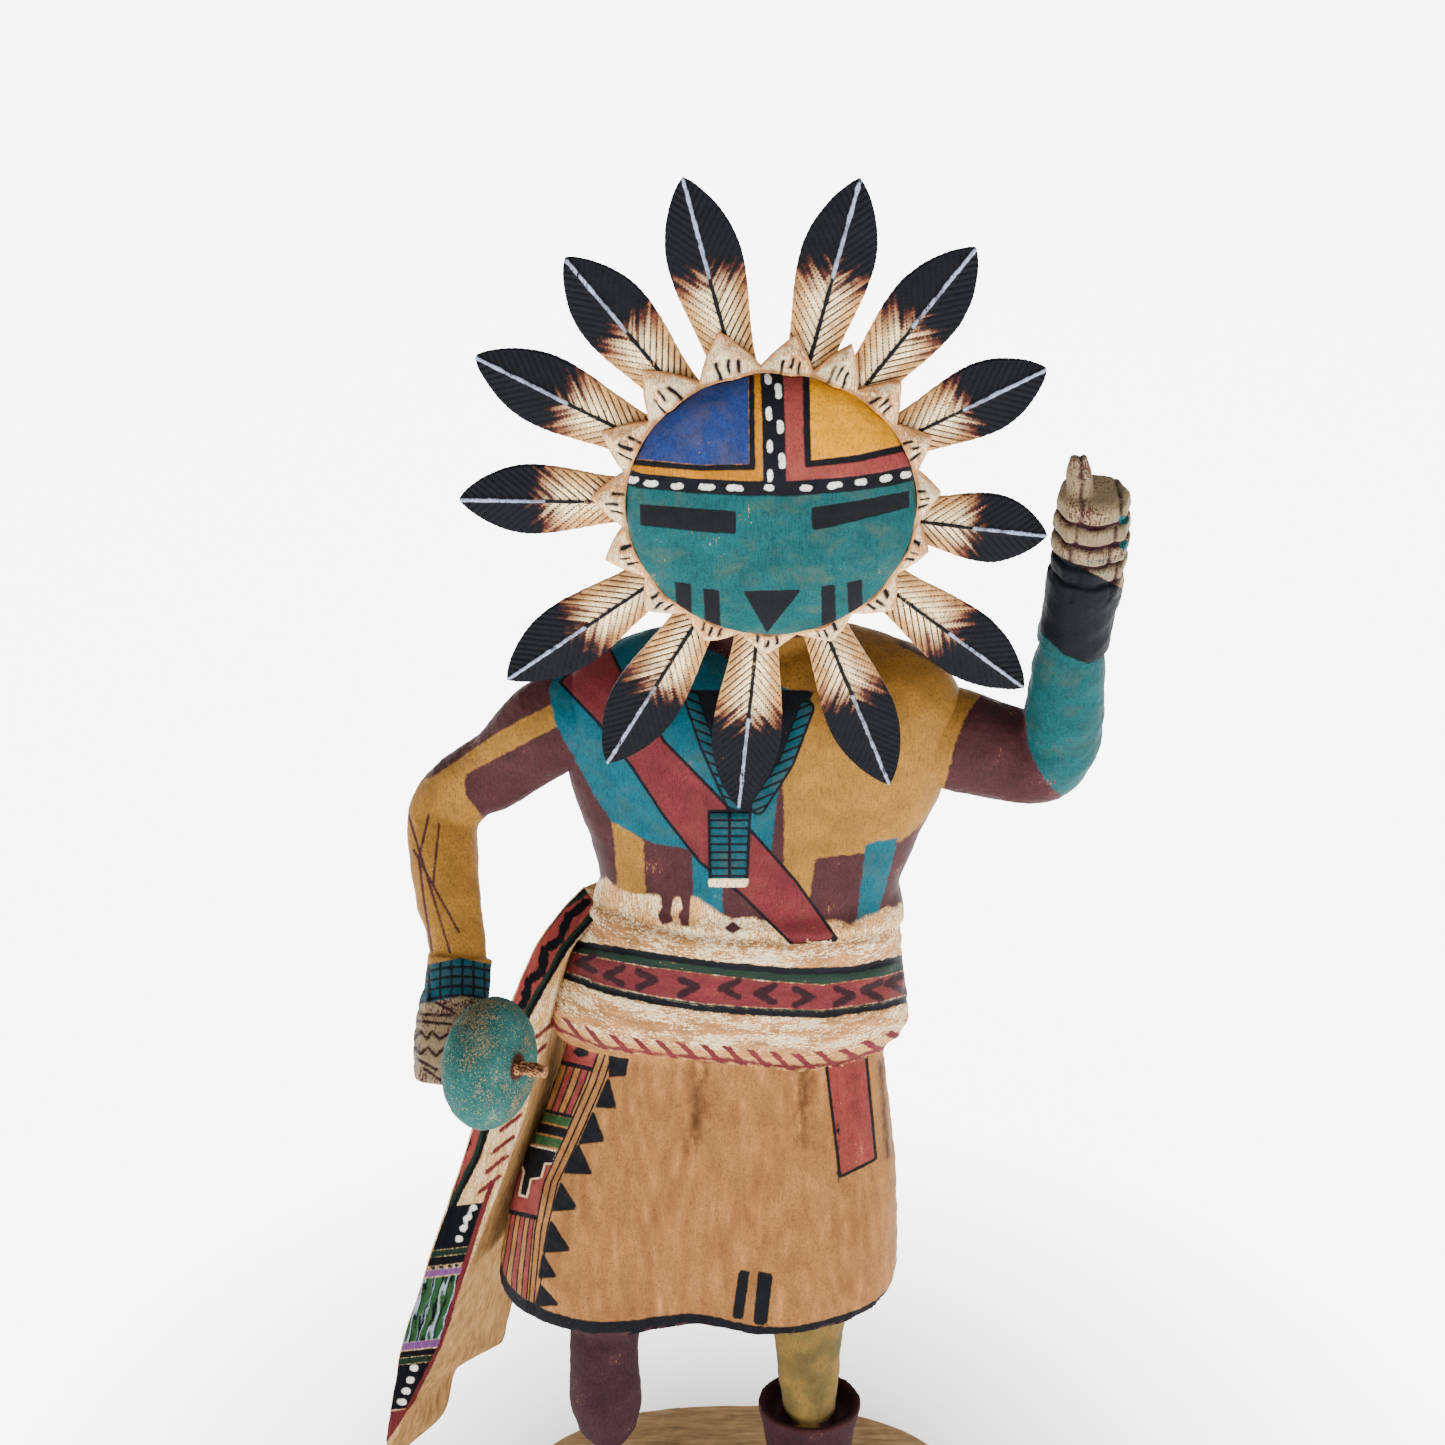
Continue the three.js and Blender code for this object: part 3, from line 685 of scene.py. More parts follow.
def makeFeather(index, degrees, tip):
    f = feather
    angle = math.radians(degrees)
    rng = np.random.default_rng(40 + index)
    out = np.array([math.sin(angle), 0, math.cos(angle)])
    side = np.array([math.cos(angle), 0, -math.sin(angle)])
    length = tip - f["start"]
    middle = np.array([mask["middle"][0], f["frontY"] + f["thickness"] / 2, mask["middle"][1]])
    bow = rng.uniform(-0.5, 0.5)
    rings, along, across = [], [], []
    loop = 2 * f["columns"]
    for i in range(f["rows"]):
        t = 1 - (1 - i / (f["rows"] - 1)) ** 1.2
        half = featherHalf(t)
        thick = f["thickness"] / 2 * (1 - 0.5 * t * t)
        edge = min(f["edge"] / 2, thick)
        ring = []
        for j in range(loop):
            front = j < f["columns"]
            step = 2 * ((j if front else j - f["columns"]) + 0.5) / f["columns"]
            s = step - 1 if front else 1 - step
            body = edge + (thick - edge) * (1 - abs(s)) ** f["ridge"]
            phase = (t * length - abs(s) * half * f["barbSlope"]) / f["barbPitch"]
            vee = abs((phase % 1) - 0.5) * 2
            cut = f["barbDepth"] * max(0, 1 - vee * 2.4) * min(1, (1 - abs(s)) * 9)
            cut *= min(1, abs(s) * half / 0.9)
            quill = f["quillHeight"] * max(0, 1 - (abs(s) * half / f["quillHalf"]) ** 2)
            notch = f["barbNotch"] * max(0, 1 - vee * 2) * (abs(s) > 0.9)
            y = (body - cut + quill) * (-1 if front else 1)
            edgeHalf = half - notch
            ring.append(middle + out * (f["start"] + t * length) + side * (s * edgeHalf + bow * t * t * 0.6)
                        + np.array([0, y, 0]))
            along.append(t * length)
            across.append(s * half)
        rings.append(ring)
    verts, faces = ringSkin(rings)
    obj = makeObject(f"carved_feather_{index + 1:02d}", verts, faces)
    along += [0.0, length]
    across += [0.0, 0.0]
    t, s = np.array(along) / length, np.array(across)
    places = readPoints(obj)
    turn = f["blackFrom"] + 0.035 * rng.uniform(-1, 1)
    phase = (np.array(along) - np.abs(s) * f["barbSlope"]) / f["barbPitch"]
    vee = np.abs((phase % 1) - 0.5) * 2
    # each half barb ends its black at its own length
    barb = np.floor(phase * 2) + np.where(s > 0, 50, 0)
    jag = 0.032 * np.sin(barb * 2.3 + index) + 0.028 * np.sin(barb * 5.1 + 2 * index) - np.abs(s) * 0.004
    setField(obj, "featherBlack", (turn + 0.02 - t + jag) * 40)
    setField(obj, "featherRust", (turn - 0.06 - t + jag * 1.3) * 40)
    setField(obj, "featherCream", np.maximum(3.4 - featherRimGap(t, s), (t - turn) * 30) * 1.6)
    setField(obj, "featherBarbs", np.maximum((vee - 0.29) * 3.4, (0.35 - featherRimGap(t, s)) * 3))
    setField(obj, "featherSpine", (np.abs(s) - 0.5) * 2.4)
    setField(obj, "featherPale", (t - turn - 0.05) * 48)
    setField(obj, "featherQuill", np.maximum(np.abs(s) - 0.34, (turn - 0.02 - t) * 20) * 2.4)
    pushPoints(obj, lumps(places, 5.0, index) * 0.05)
    obj.data.materials.append(featherPaint)
    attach(obj, "root")
    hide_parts(f"feather_{index + 1:02d}")


def featherRimGap(t, s):
    half = np.array([featherHalf(x) for x in np.linspace(0, 1, 200)])
    return np.interp(t, np.linspace(0, 1, 200), half) - np.abs(s)


featherPaint = paintedWood("featherPaint", [
    coat("gold", None, 0.4),
    coat("cream", "featherCream", 0.55, 5.0, 5.0),
    coat("rust", "featherRust", 0.5, 6.0, 3.0),
    coat("barb", "featherBarbs", 0.1, 0.8, 0.5, groove=0.3),
    coat("black", "featherSpine", 0.5, 0.7, 0.7, within="featherPale"),
    coat("black", "featherBlack", 0.1, 2.4, 3.0),
    coat("quill", "featherQuill", 0.6, 0.8, 0.9),
], wood=(170, 120, 74), roughness=0.55)

for number, (degrees, tip) in enumerate(featherFan):
    makeFeather(number, degrees, tip)
print("feathers made")


# The body: torso, belt, kilt, legs and boot, melted into one skin. Heights are above the sole.

body = {        # z, left, right, front, back, power and, in the kilt, how far the front dips
    "torso": [
        (212, -40, 41, -20, 19, 2.3),
        (222, -37, 40, -21.5, 19.5, 2.3),
        (235, -39, 43.5, -21.5, 20, 2.3),
        (250, -43.5, 49.5, -21.5, 21, 2.4),
        (264, -45.5, 53, -21.5, 21, 2.5),
        (275, -46, 53.5, -20.5, 20, 2.5),
        (283, -42, 49.5, -18, 18, 2.3),
        (289, -31, 39, -15, 15, 2.1),
        (293, -14, 24, -11, 11, 2),
    ],
    "belt": [
        (174, -46, 38, -14, 18, 2.3),
        (177.5, -50, 42, -17.5, 22, 2.3),
        (182.5, -52.5, 43.8, -20, 24, 2.3),
        (189, -51, 43, -21.5, 23.5, 2.3),
        (195.5, -48.5, 42.2, -22, 22.5, 2.3),
        (209, -43, 41, -24, 22, 2.3),
        (213.5, -41, 41.5, -25.5, 22.5, 2.3),
        (217.5, -39.5, 41, -25, 22, 2.3),
        (222, -37.5, 39.8, -22.4, 20.4, 2.3),
    ],
    "kilt": [
        (97.4, -67, 40.8, -30.6, 28.6, 2.5, 6),
        (98.8, -68.4, 42.2, -31.9, 29.9, 2.5, 6),
        (103, -67.8, 43, -32, 30, 2.5, 6),
        (128, -62, 42.3, -28.5, 28, 2.4, 4),
        (150, -54, 40, -24, 25, 2.3, 1.5),
        (186, -43, 35.5, -16, 18, 2.3),
    ],
    "neck": [
        (284, -11.5, 21.5, -12, 12, 2),
        (298, -8.5, 19, -13, 10, 2),
        (320, -7.5, 18, -13, 9, 2),
    ],
    "standingLeg": [(18, 0, 106, 13, 12), (18.4, -1, 88, 11.4, 10.5), (19, -2, 66, 9, 8.6),
                    (19.6, -2, 45, 7.4, 7.2), (19.8, -2, 30, 7, 7)],
    "hangingLeg": [(-34, -4, 116, 12, 14), (-36, -14, 103, 10.6, 12), (-38, -22, 90, 9.4, 9.2),
                   (-37.6, -29, 76, 10.0, 7.5), (-37.0, -32, 69, 8.4, 6.0),
                   (-36.6, -33.8, 64.8, 5.0, 3.8), (-36.4, -34.4, 63.0, 2.2, 1.8)],
    # height, half width and half depth, from the hollow's floor over the rim and down to the sole
    "bootShaft": [(44.5, 10.4, 9.2), (47, 11.8, 10.2), (49.4, 13.2, 11.2), (50, 14.2, 12.2),
                  (49.4, 15.3, 13.3), (46, 14.4, 12.8), (42, 13.6, 12.4), (36, 12.7, 12.1),
                  (30, 12.2, 12), (22, 12, 12.2), (14, 12, 12.6), (0, 12.4, 13)],
    "bootFoot": [
        (0, 7.2, 32, -43, 14, 2.6),
        (3, 6.8, 32.4, -43.5, 14.4, 2.6),
        (8, 7.6, 31.6, -40, 13.8, 2.4),
        (14, 9.4, 29.8, -29, 12.6, 2.2),
        (19, 11, 28.4, -14, 11, 2),
    ],
    "headRadius": 25, "headDepth": 43, "headMiddle": (5.35, 331.8), "dipX": -13, "dipWidth": 15,
    "bootMiddle": (19.6, -0.4), "voxel": 1.18,
}


def headBlock():
    b = body
    front = mask["backY"] + 0.3
    rings = []
    for t in np.linspace(0, 1, 24):
        angle = math.pi / 2 * t * 0.985
        y = front if t == 0 else front + b["headDepth"] * (0.35 + 0.65 * math.sin(angle))
        r = b["headRadius"] * math.cos(angle)
        turn = turns(64)
        rings.append(np.stack([b["headMiddle"][0] + r * np.sin(turn), np.full(len(turn), y),
                               b["headMiddle"][1] + soleZ + r * 1.08 * np.cos(turn)], axis=1))
    return ringSkin(rings)


def bootShaft():
    x, y = body["bootMiddle"]
    angles = turns(60)
    rings = []
    for z, a, b in body["bootShaft"]:
        height = np.full(len(angles), z + soleZ)
        rings.append(np.stack([x + a * np.cos(angles), y + b * np.sin(angles), height], axis=1))
    return ringSkin(rings)


torsoDrawing = {        # in pixels of the view
    "shoulder": [(549, 690), (556, 672), (575, 640), (650, 620), (790, 690), (770, 862), (700, 862),
                 (690, 849), (660, 845), (640, 838), (611, 821), (593, 793), (572, 754), (555, 724)],
    "strap": [(560, 682), (585, 655), (606, 640), (630, 690), (665, 742), (710, 788), (755, 835),
              (795, 880), (838, 940), (793, 945), (740, 893), (700, 862), (664, 816), (632, 767),
              (598, 722)],
    "chest": [(775, 640), (870, 630), (985, 690), (968, 712), (955, 745), (945, 785), (925, 820),
              (903, 840), (865, 853), (815, 858), (809, 904), (784, 880), (784, 800), (770, 700)],
    "stripes": [[(866, 843), (898, 838), (876, 924), (856, 924)],
                [(692, 850), (722, 868), (723, 914), (693, 910)]],
    "mustardStrip": [(612, 818), (643, 838), (646, 903), (632, 901), (618, 888)],
    "drips": [[(659, 890), (676, 890), (671, 912), (673, 922), (662, 925), (658, 916), (662, 906)],
              [(679, 890), (691, 890), (690, 910), (689, 926), (681, 926), (678, 916), (682, 908)],
              [(724, 928), (733, 921), (742, 928), (733, 935)]],
    "whiteTop": [(556, 864), (604, 880), (625, 891), (650, 896), (694, 897), (712, 908), (723, 915),
                 (760, 921), (846, 923), (900, 906), (915, 900)],
    # painted shade: black laid inside the necklace's V, where the mask shadows the chest
    "hollow": [(694, 690), (815, 690), (762, 812), (728, 812)],
    "necklace": [[(692, 698), (708, 745), (735, 806)], [(806, 708), (786, 762), (758, 806)]],
    "pendant": [(709, 811), (750, 811), (747, 880), (710, 880)],
    "tab": [(708, 879), (749, 879), (747, 887), (709, 887)],
}
kiltDrawing = {
    "rails": [[(601, 1045), (588, 1083), (569, 1127), (544, 1183), (535, 1230), (529, 1300), (527, 1320)],
              [(606, 1048), (592.5, 1083), (573.5, 1127), (548, 1184), (538.5, 1231), (532.5, 1300),
               (530.5, 1320)],
              [(611, 1051), (597, 1083), (578, 1127), (552, 1185), (542, 1232), (536, 1300), (534, 1320)]],
    "left": [(556, 1030), (550, 1061), (534, 1110), (521, 1150), (511, 1200), (503, 1250), (498, 1275)],
    "bars": [(1061, 2.4), (1113, 2), (1131, 5), (1222, 2.4)],       # middle and half height
    "teeth": [[(608, 1080), (615, 1107), (597, 1106)], [(593, 1113), (603, 1140), (580, 1143)],
              [(578, 1146), (591, 1173), (565, 1172)], [(561, 1184), (576, 1208), (553, 1210)],
              [(551, 1222), (569, 1250), (544, 1251)], [(543, 1256), (555, 1276), (540, 1277)],
              [(541, 1286), (557, 1304), (536, 1305)]],
    "block": [(608, 1050), (629, 1058), (626, 1076), (609, 1077)],
    "topSteps": [(570, 1030), (599, 1038), (597, 1050), (589, 1051), (588, 1056), (579, 1057),
                 (572, 1052), (577, 1047)],
    "redStrip": [(826, 1062), (866, 1054), (876, 1159), (840, 1177)],
    "stripEnd": [(838, 1120), (838, 1184)],
    "hemBars": [[(739, 1269), (750, 1271), (743, 1320), (732, 1318)],
                [(758, 1271), (773, 1274), (767, 1326), (753, 1324)]],
    "stains": [[(703, 1064), (697, 1090), (699, 1112), (691, 1146)],
               [(801, 1058), (806, 1090), (800, 1140)]],
    # painted shade: dark bands drawn where the kilt's folds and hem are shaded
    "shades": [[(700, 1060), (690, 1150), (650, 1230)], [(806, 1060), (790, 1150), (720, 1250)],
               [(560, 1330), (640, 1310), (760, 1326)], [(850, 1190), (858, 1290)]],
    # painted shadow: a dark line where a fold of the kilt is shaded, right of the red strip
    "creaseShadow": [[(880, 1062), (888, 1156)]],
    "steps": [(521, 1143), (561, 1152), (558, 1163), (545, 1164), (541, 1178), (531, 1179), (527, 1197),
              (519, 1195), (524, 1171), (519, 1160)],
}


def makeBody():
    b = body
    shells = [trunk(b["torso"], sides=160, rows=90), trunk(b["belt"], sides=160, rows=60),
              trunk(b["kilt"], sides=180, rows=90, dipX=b["dipX"], dipWidth=b["dipWidth"]),
              trunk(b["neck"], sides=64, rows=30), headBlock(), trunk(b["bootFoot"], sides=72, rows=20),
              bootShaft()]
    shells += [limb(b[name], (1, 0, 0)) for name in ("standingLeg", "hangingLeg")]
    obj = oneSkin("carved_body", shells, b["voxel"], 5)
    refine(obj, finelyDrawn(obj))
    carveBody(obj)
    places = readPoints(obj)
    x, y, z = places.T
    facing = places.copy()
    facing[:, 1] = -np.abs(y)
    u, v = photoPlace(facing)
    back = np.where(y > 4, 60.0, -60.0)
    paintTorso(obj, u, v, back, places)
    paintBelt(obj, u, v, places)
    paintKilt(obj, u, v, back, places)
    paintLegs(obj, places)
    for material in (torsoPaint(), beltPaint(), kiltPaint(), legPaint(), headPaint()):
        obj.data.materials.append(material)
    h = z - soleZ
    f = paintedFrom
    slotOf = np.select([h > f["head"], (h > f["torso"]) & (under(u, v, "seam") < 0),
                        (h > f["belt"]) & (under(u, v, "cord") < 7), h > f["kilt"]], [4, 0, 1, 2], 3)
    corner = np.empty(len(obj.data.loops), dtype=np.int32)
    obj.data.loops.foreach_get("vertex_index", corner)
    starts = np.empty(len(obj.data.polygons), dtype=np.int32)
    obj.data.polygons.foreach_get("loop_start", starts)
    obj.data.polygons.foreach_set("material_index", slotOf[corner[starts]].astype(np.int32))
    obj.data.polygons.foreach_set("use_smooth", [True] * len(obj.data.polygons))
    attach(obj, "root")
    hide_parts("body")
    return obj


beltLines = {       # in pixels of the view, left to right
    "seam": [(556, 884), (603, 907), (647, 923), (676, 933), (735, 939), (793, 942), (846, 939),
             (896, 930), (912, 924)],
    "blackTop": [(560, 940), (579, 944), (600, 947), (676, 959), (719, 965), (793, 971), (852, 970),
                 (902, 958), (915, 953)],
    "redTop": [(556, 948), (585, 955), (647, 967), (705, 974), (764, 981), (823, 985), (881, 977),
               (905, 970), (915, 966)],
    "redLow": [(556, 967), (563, 970), (603, 985), (647, 995), (705, 1004), (764, 1008), (823, 1010),
               (881, 1002), (902, 996), (915, 992)],
    "cord": [(545, 1016), (557, 1024), (600, 1042), (665, 1050), (739, 1057), (795, 1063), (839, 1059),
             (882, 1044), (904, 1033), (915, 1026)],
}
chevrons = [(585, 963, 1), (613, 976, 1), (647, 980, -1), (689, 987, -1), (729, 989, 1), (765, 994, 1),
            (804, 997, -1), (845, 996, -1), (871, 990, 1), (895, 983, 1)]


def finelyDrawn(obj):       # where the drawing is too small for the even skin
    places = readPoints(obj)
    h = places[:, 2] - soleZ
    u, v = photoPlace(places)
    rail = u - acrossAt(v, kiltDrawing["rails"][2])
    belt = (under(u, v, "blackTop") > -8) & (under(u, v, "cord") < 12)
    neckZone = area(u, v, [(684, 695), (812, 695), (762, 892), (700, 892)]) < 2
    drips = area(u, v, [(650, 884), (748, 915), (745, 940), (650, 930)]) < 0
    panel = (rail < 24) & (v < 1322) & (under(u, v, "cord") > 0)
    return (places[:, 1] < 4) & (h > 95) & (h < 300) & (belt | neckZone | drips | panel)


def under(u, v, name):      # pixels below a belt line, negative above it
    return v - levelAt(u, beltLines[name])


# Heights above the sole between which each part is carved, and from which it has its own paint
carvedFrom = {"torso": (219, 400), "belt": (165, 226), "kilt": (98.5, 176), "head": (306, 400)}
paintedFrom = {"head": 302, "torso": 190, "belt": 150, "kilt": 98.6}


def carvedHere(h, part):
    low, high = carvedFrom[part]
    return (h > low) & (h < high)


def carveBody(obj):
    places = readPoints(obj)
    x, y, z = places.T
    h = z - soleZ
    chips = lumps(places, 9.0, 11) * 0.14 + lumps(places, 3.6, 12) * 0.07
    facing = places.copy()
    facing[:, 1] = -np.abs(y)
    u, v = photoPlace(facing)
    offset = chips
    onTorso = carvedHere(h, "torso")
    pendant = area(u, v, torsoDrawing["pendant"])
    necklace = strokes(u, v, torsoDrawing["necklace"], 16)
    raised = np.clip(-necklace / 5, 0, 1) * 0.5 + np.clip(-pendant / 4, 0, 1) * 1.2
    offset = offset + np.where(onTorso & (y < 0), raised, 0)
    seam, top, low, cord = [under(u, v, name) for name in ("seam", "blackTop", "redLow", "cord")]
    onBelt = carvedHere(h, "belt") & (seam > -8) & (cord < 14)
    dents = lumps(places * [1, 1, 2.5], 15, 21) * 0.16
    grooves = dent(seam, 4.5) + 0.4 * dent(top, 3.5) + 0.4 * dent(low - 5, 3.5)
    slant = np.cos((u - cord * 1.1) * 2 * math.pi / 23)
    rope = np.where(np.abs(cord) < 12, slant * 0.4 * (1 - np.abs(cord) / 12) - 0.1, 0)
    offset = offset + np.where(onBelt, dents - grooves + rope, 0)
    onKilt = carvedHere(h, "kilt") & (cord > 10)
    folds = np.sin((x + 3) * 0.12 + 0.8) * 0.5 * np.clip((150 - h) / 40, 0, 1)
    offset = offset + np.where(onKilt, folds, 0)
    rail = strokes(u, v, kiltDrawing["rails"], 3)
    strip = np.abs(area(u, v, kiltDrawing["redStrip"])) - 1.5
    offset = offset - np.where(onKilt & (y < 0), 0.3 * np.clip(-either(rail, strip) / 1.5, 0, 1), 0)
    onHead = carvedHere(h, "head")
    strands = np.sin(np.arctan2(x - 5.35, z - 340) * 46 + lumps(places, 14, 31) * 1.4)
    offset = offset + np.where(onHead & (y > -24), strands * 0.22, 0)
    pushPoints(obj, offset)


def paintTorso(obj, u, v, back, places):
    d = torsoDrawing
    onTorso = places[:, 2] - soleZ > 214
    off = np.where(onTorso, -60.0, 60.0)
    setField(obj, "torsoTurquoise", both(either(area(u, v, d["shoulder"]), areas(u, v, d["stripes"])), off))
    setField(obj, "torsoMustard", both(either(area(u, v, d["chest"]), area(u, v, d["mustardStrip"])), off))
    strap = area(u, v, d["strap"])
    setField(obj, "torsoStrap", both(strap, off))
    # painted shade: black inside the necklace's V, where the mask shadows the chest
    setField(obj, "torsoMaskShade", both(area(u, v, d["hollow"]), back, off))
    beads = strokes(u, v, d["necklace"], 15)
    setField(obj, "torsoBeads", both(beads, back, off))
    setField(obj, "torsoRungs", v + np.abs(u - 745) * 0.42)
    setField(obj, "torsoPendant", both(area(u, v, d["pendant"]), back, off))
    setField(obj, "torsoLevel", v)
    setField(obj, "torsoMiddle", u - 729.5)
    setField(obj, "torsoTab", both(area(u, v, d["tab"]), back, off))
    h = places[:, 2] - soleZ
    white = levelAt(u, d["whiteTop"]) - v
    setField(obj, "torsoWhite", both(white + lumps(places, 9, 41) * 2.5, 205 - h))
    setField(obj, "torsoDrips", both(areas(u, v, d["drips"]), back))


def torsoPaint():
    return paintedWood("torsoPaint", [
        coat("maroon", None, 0.42),
        coat("mustard", "torsoMustard", 0.45, 2.0, 3.0),
        coat("sky", "torsoTurquoise", 0.42, 2.0, 2.6),
        coat("gold", "torsoWhite", 0.5, 5.0, 2.6),
        coat("bone", "torsoWhite", 1.0, 3.0, 2.6),
        coat("maroon", "torsoDrips", 0.2, 2.0, 1.5),
        coat("strap", "torsoStrap", 0.4, 1.5, 1.0),
        coat("black", "torsoStrap", 0.2, 1.2, 0.7, line=1.5, groove=0.9),
        # painted shade under the mask, in black
        coat("black", "torsoMaskShade", 0.2, 2.0, 1.5),
        coat("deepTurquoise", "torsoBeads", 0.4, 1.4, 0.8),
        coat("black", "torsoRungs", 0.2, wobble=0.6, line=1.3, pitch=9.2, within="torsoBeads", groove=0.8),
        coat("black", "torsoBeads", 0.2, wobble=0.6, line=1.3, groove=0.8),
        coat("deepTurquoise", "torsoPendant", 0.4, 1.4, 0.8),
        coat("black", "torsoMiddle", 0.2, wobble=0.5, line=1.6, within="torsoPendant", groove=0.8),
        coat("black", "torsoLevel", 0.2, wobble=0.6, line=1.2, pitch=8.0, within="torsoPendant", groove=0.8),
        coat("black", "torsoPendant", 0.2, wobble=0.5, line=1.5, groove=0.8),
        coat("bone", "torsoTab", 0.5, 1.4, 0.8),
    ], wood=(150, 104, 64), roughness=0.64)


def paintBelt(obj, u, v, places):
    top, redTop, redLow, cord = [under(u, v, name) for name in ("blackTop", "redTop", "redLow", "cord")]
    setField(obj, "beltRed", both(redTop * -1, redLow))
    setField(obj, "beltGreen", either(both(-top, redTop), both(-redLow, redLow - 3)))
    setField(obj, "beltTop", top)
    setField(obj, "beltLow", redLow - 5)
    marks = []
    for x, y, way in chevrons:
        marks.append(stroke(u, v, [(x + 9 * way, y - 8), (x - 8 * way, y), (x + 9 * way, y + 8)], 7))
    setField(obj, "beltChevrons", either(*marks))
    setField(obj, "beltSlant", u - cord * 1.1 + 11.5)
    setField(obj, "beltCord", between(cord, -9, 8))
    setField(obj, "beltCordLine", cord - 4.5)
    setField(obj, "beltBare", -5 - cord)


def beltPaint():
    return paintedWood("beltPaint", [
        coat("bone", None, 1.03),
        coat("green", "beltGreen", 0.4, 1.6, 1.6),
        coat("strap", "beltRed", 0.42, 1.6, 1.4),
        coat("black", "beltTop", 0.2, 1.4, 2.0, line=3.4, groove=0.9),
        coat("black", "beltLow", 0.2, 1.4, 2.0, line=3.2, groove=0.9),
        coat("wine", "beltChevrons", 0.45, 1.6, 3.4),
        coat("gold", "beltBare", 0.84, 6.0, 5.0),
        coat("strap", "beltCordLine", 0.6, 2.4, 3.0, line=2.0),
        coat("strap", "beltSlant", 0.3, 1.6, 3.4, line=4.0, pitch=23.0, within="beltCord", groove=1.0),
    ], wood=(150, 104, 62), grain=(0.25, 0.25, 1), roughness=0.66, streaky=True)


def paintKilt(obj, u, v, back, places):
    d = kiltDrawing
    x, h = places[:, 0], places[:, 2] - soleZ
    on = between(h, 97, 178) * 4
    edge = acrossAt(v, d["rails"][0])
    left = acrossAt(v, d["left"])
    across = (u - left) / (edge - left) * 6
    level = v - (u - 555) * 0.23
    panel = both(u - edge, back, on)
    striped = both(panel, either(between(level, 1062, 1112), 1222 - level))
    setField(obj, "kiltStriped", striped)
    setField(obj, "kiltAcross", across * 7)
    setField(obj, "kiltRed", both(panel, either(between(level, 1000, 1060), between(level, 1149, 1221))))
    setField(obj, "kiltGreen", both(panel, either(between(level, 1115, 1124), between(level, 1138, 1148))))
    bars = either(*[between(level, y - size, y + size) for y, size in d["bars"]])
    setField(obj, "kiltSteps", both(panel, area(u, v, d["steps"])))
    setField(obj, "kiltBars", both(panel, either(bars, area(u, v, d["topSteps"]))))
    fromEdge = (u - edge) / np.interp(v, [1150, 1290], [1, 0.68])     # the rails draw together below
    setField(obj, "kiltRail", fromEdge + 3.7)
    setField(obj, "kiltRails", both(between(fromEdge, -2, 17), back, on))
    marks = either(area(u, v, d["block"]), areas(u, v, d["teeth"]) - 1.6, areas(u, v, d["hemBars"]),
                   stroke(u, v, d["stripEnd"], 2.5))
    setField(obj, "kiltBlack", both(marks, back, on))
    setField(obj, "kiltHem", (h - 102.0 + x * 0.025 - lumps(places, 30, 51) * 0.3) * 4)
    setField(obj, "kiltStrip", both(area(u, v, d["redStrip"]), back))
    # painted fold shade: soft dark bands along the drawn shade lines
    setField(obj, "kiltShade", both(strokes(u, v, d["shades"], 6) + 12, back))
    setField(obj, "kiltStains", both(strokes(u, v, d["stains"], 7), back))
    # painted shadow down a fold of the kilt
    setField(obj, "kiltCreaseShadow", both(strokes(u, v, d["creaseShadow"], 4), back))


def kiltPaint():
    return paintedWood("kiltPaint", [
        coat("tan", None, 0.5),
        # painted shade over the kilt's folds, in a dark brown
        coat("foldShadeBrown", "kiltShade", 0.8, 60.0, 14.0),
        coat("barb", "kiltStains", 0.8, 20.0, 11.0),
        # painted shadow down a fold of the kilt, in dark brown
        coat("barb", "kiltCreaseShadow", 0.65, 5.0, 3.0),
        coat("brick", "kiltRed", 0.42, 1.6, 1.2),
        coat("brick", "kiltAcross", 0.42, 1.4, 0.9, line=3.0, pitch=14.0, within="kiltStriped"),
        coat("black", "kiltAcross", 0.3, wobble=0.7, line=0.9, pitch=7.0, within="kiltStriped"),
        coat("leafGreen", "kiltGreen", 0.4, 1.6, 1.0),
        coat("brick", "kiltStrip", 0.42, 1.5, 1.0),
        coat("black", "kiltStrip", 0.25, 1.1, 0.7, line=1.5, groove=0.8),
        coat("black", "kiltBars", 0.3, 1.4, 1.0),
        coat("black", "kiltSteps", 0.25, 1.2, 0.9),
        coat("bone", "kiltSteps", 0.7, 1.2, 0.8, line=0.9),
        coat("black", "kiltRail", 0.2, wobble=0.5, line=1.0, pitch=7.4, within="kiltRails", groove=0.6),
        coat("black", "kiltBlack", 0.2, 1.4, 0.9, groove=0.5),
        coat("black", "kiltHem", 0.2, 2.0, 2.2, groove=0.4),
    ], wood=(178, 122, 70), grain=(1, 1, 0.18), roughness=0.68, speckle=0.45, figure=0.3,
        streaky=True)


def paintLegs(obj, places):
    x, y, z = places.T
    h = z - soleZ
    shaft = np.where(h > 60, 15.0, 10.4)
    nearLeg = np.hypot(x - 19.2, y + 1.6) / shaft - 1
    setField(obj, "legMustard", both(nearLeg * 30, (49.0 - h) * 4, (2 - x) * 4))
    setField(obj, "bootRim", both(np.abs(h - 49.2) * 4 - 3.5, -nearLeg * 40, (2 - x) * 4))
    setField(obj, "bootSole", (h - 3.2) * 4)


def legPaint():
    return paintedWood("legPaint", [
        coat("boot", None, 0.4),
        coat("leg", "legMustard", 0.45, 2.0, 1.5),
        coat("slate", "legMustard", 0.9, 2.0, 1.5),
        coat("maroon", "bootRim", 0.5, 2.5, 2.0),
        coat("bone", "bootSole", 0.6, 2.0, 1.5),
    ], wood=(150, 108, 72), roughness=0.7)


def headPaint():
    return paintedWood("headPaint", [coat("black", None, 0.15)], wood=(150, 108, 76), roughness=0.6)


made = makeBody()
print("body made,", len(made.data.polygons), "faces")


# The arms, with their fists

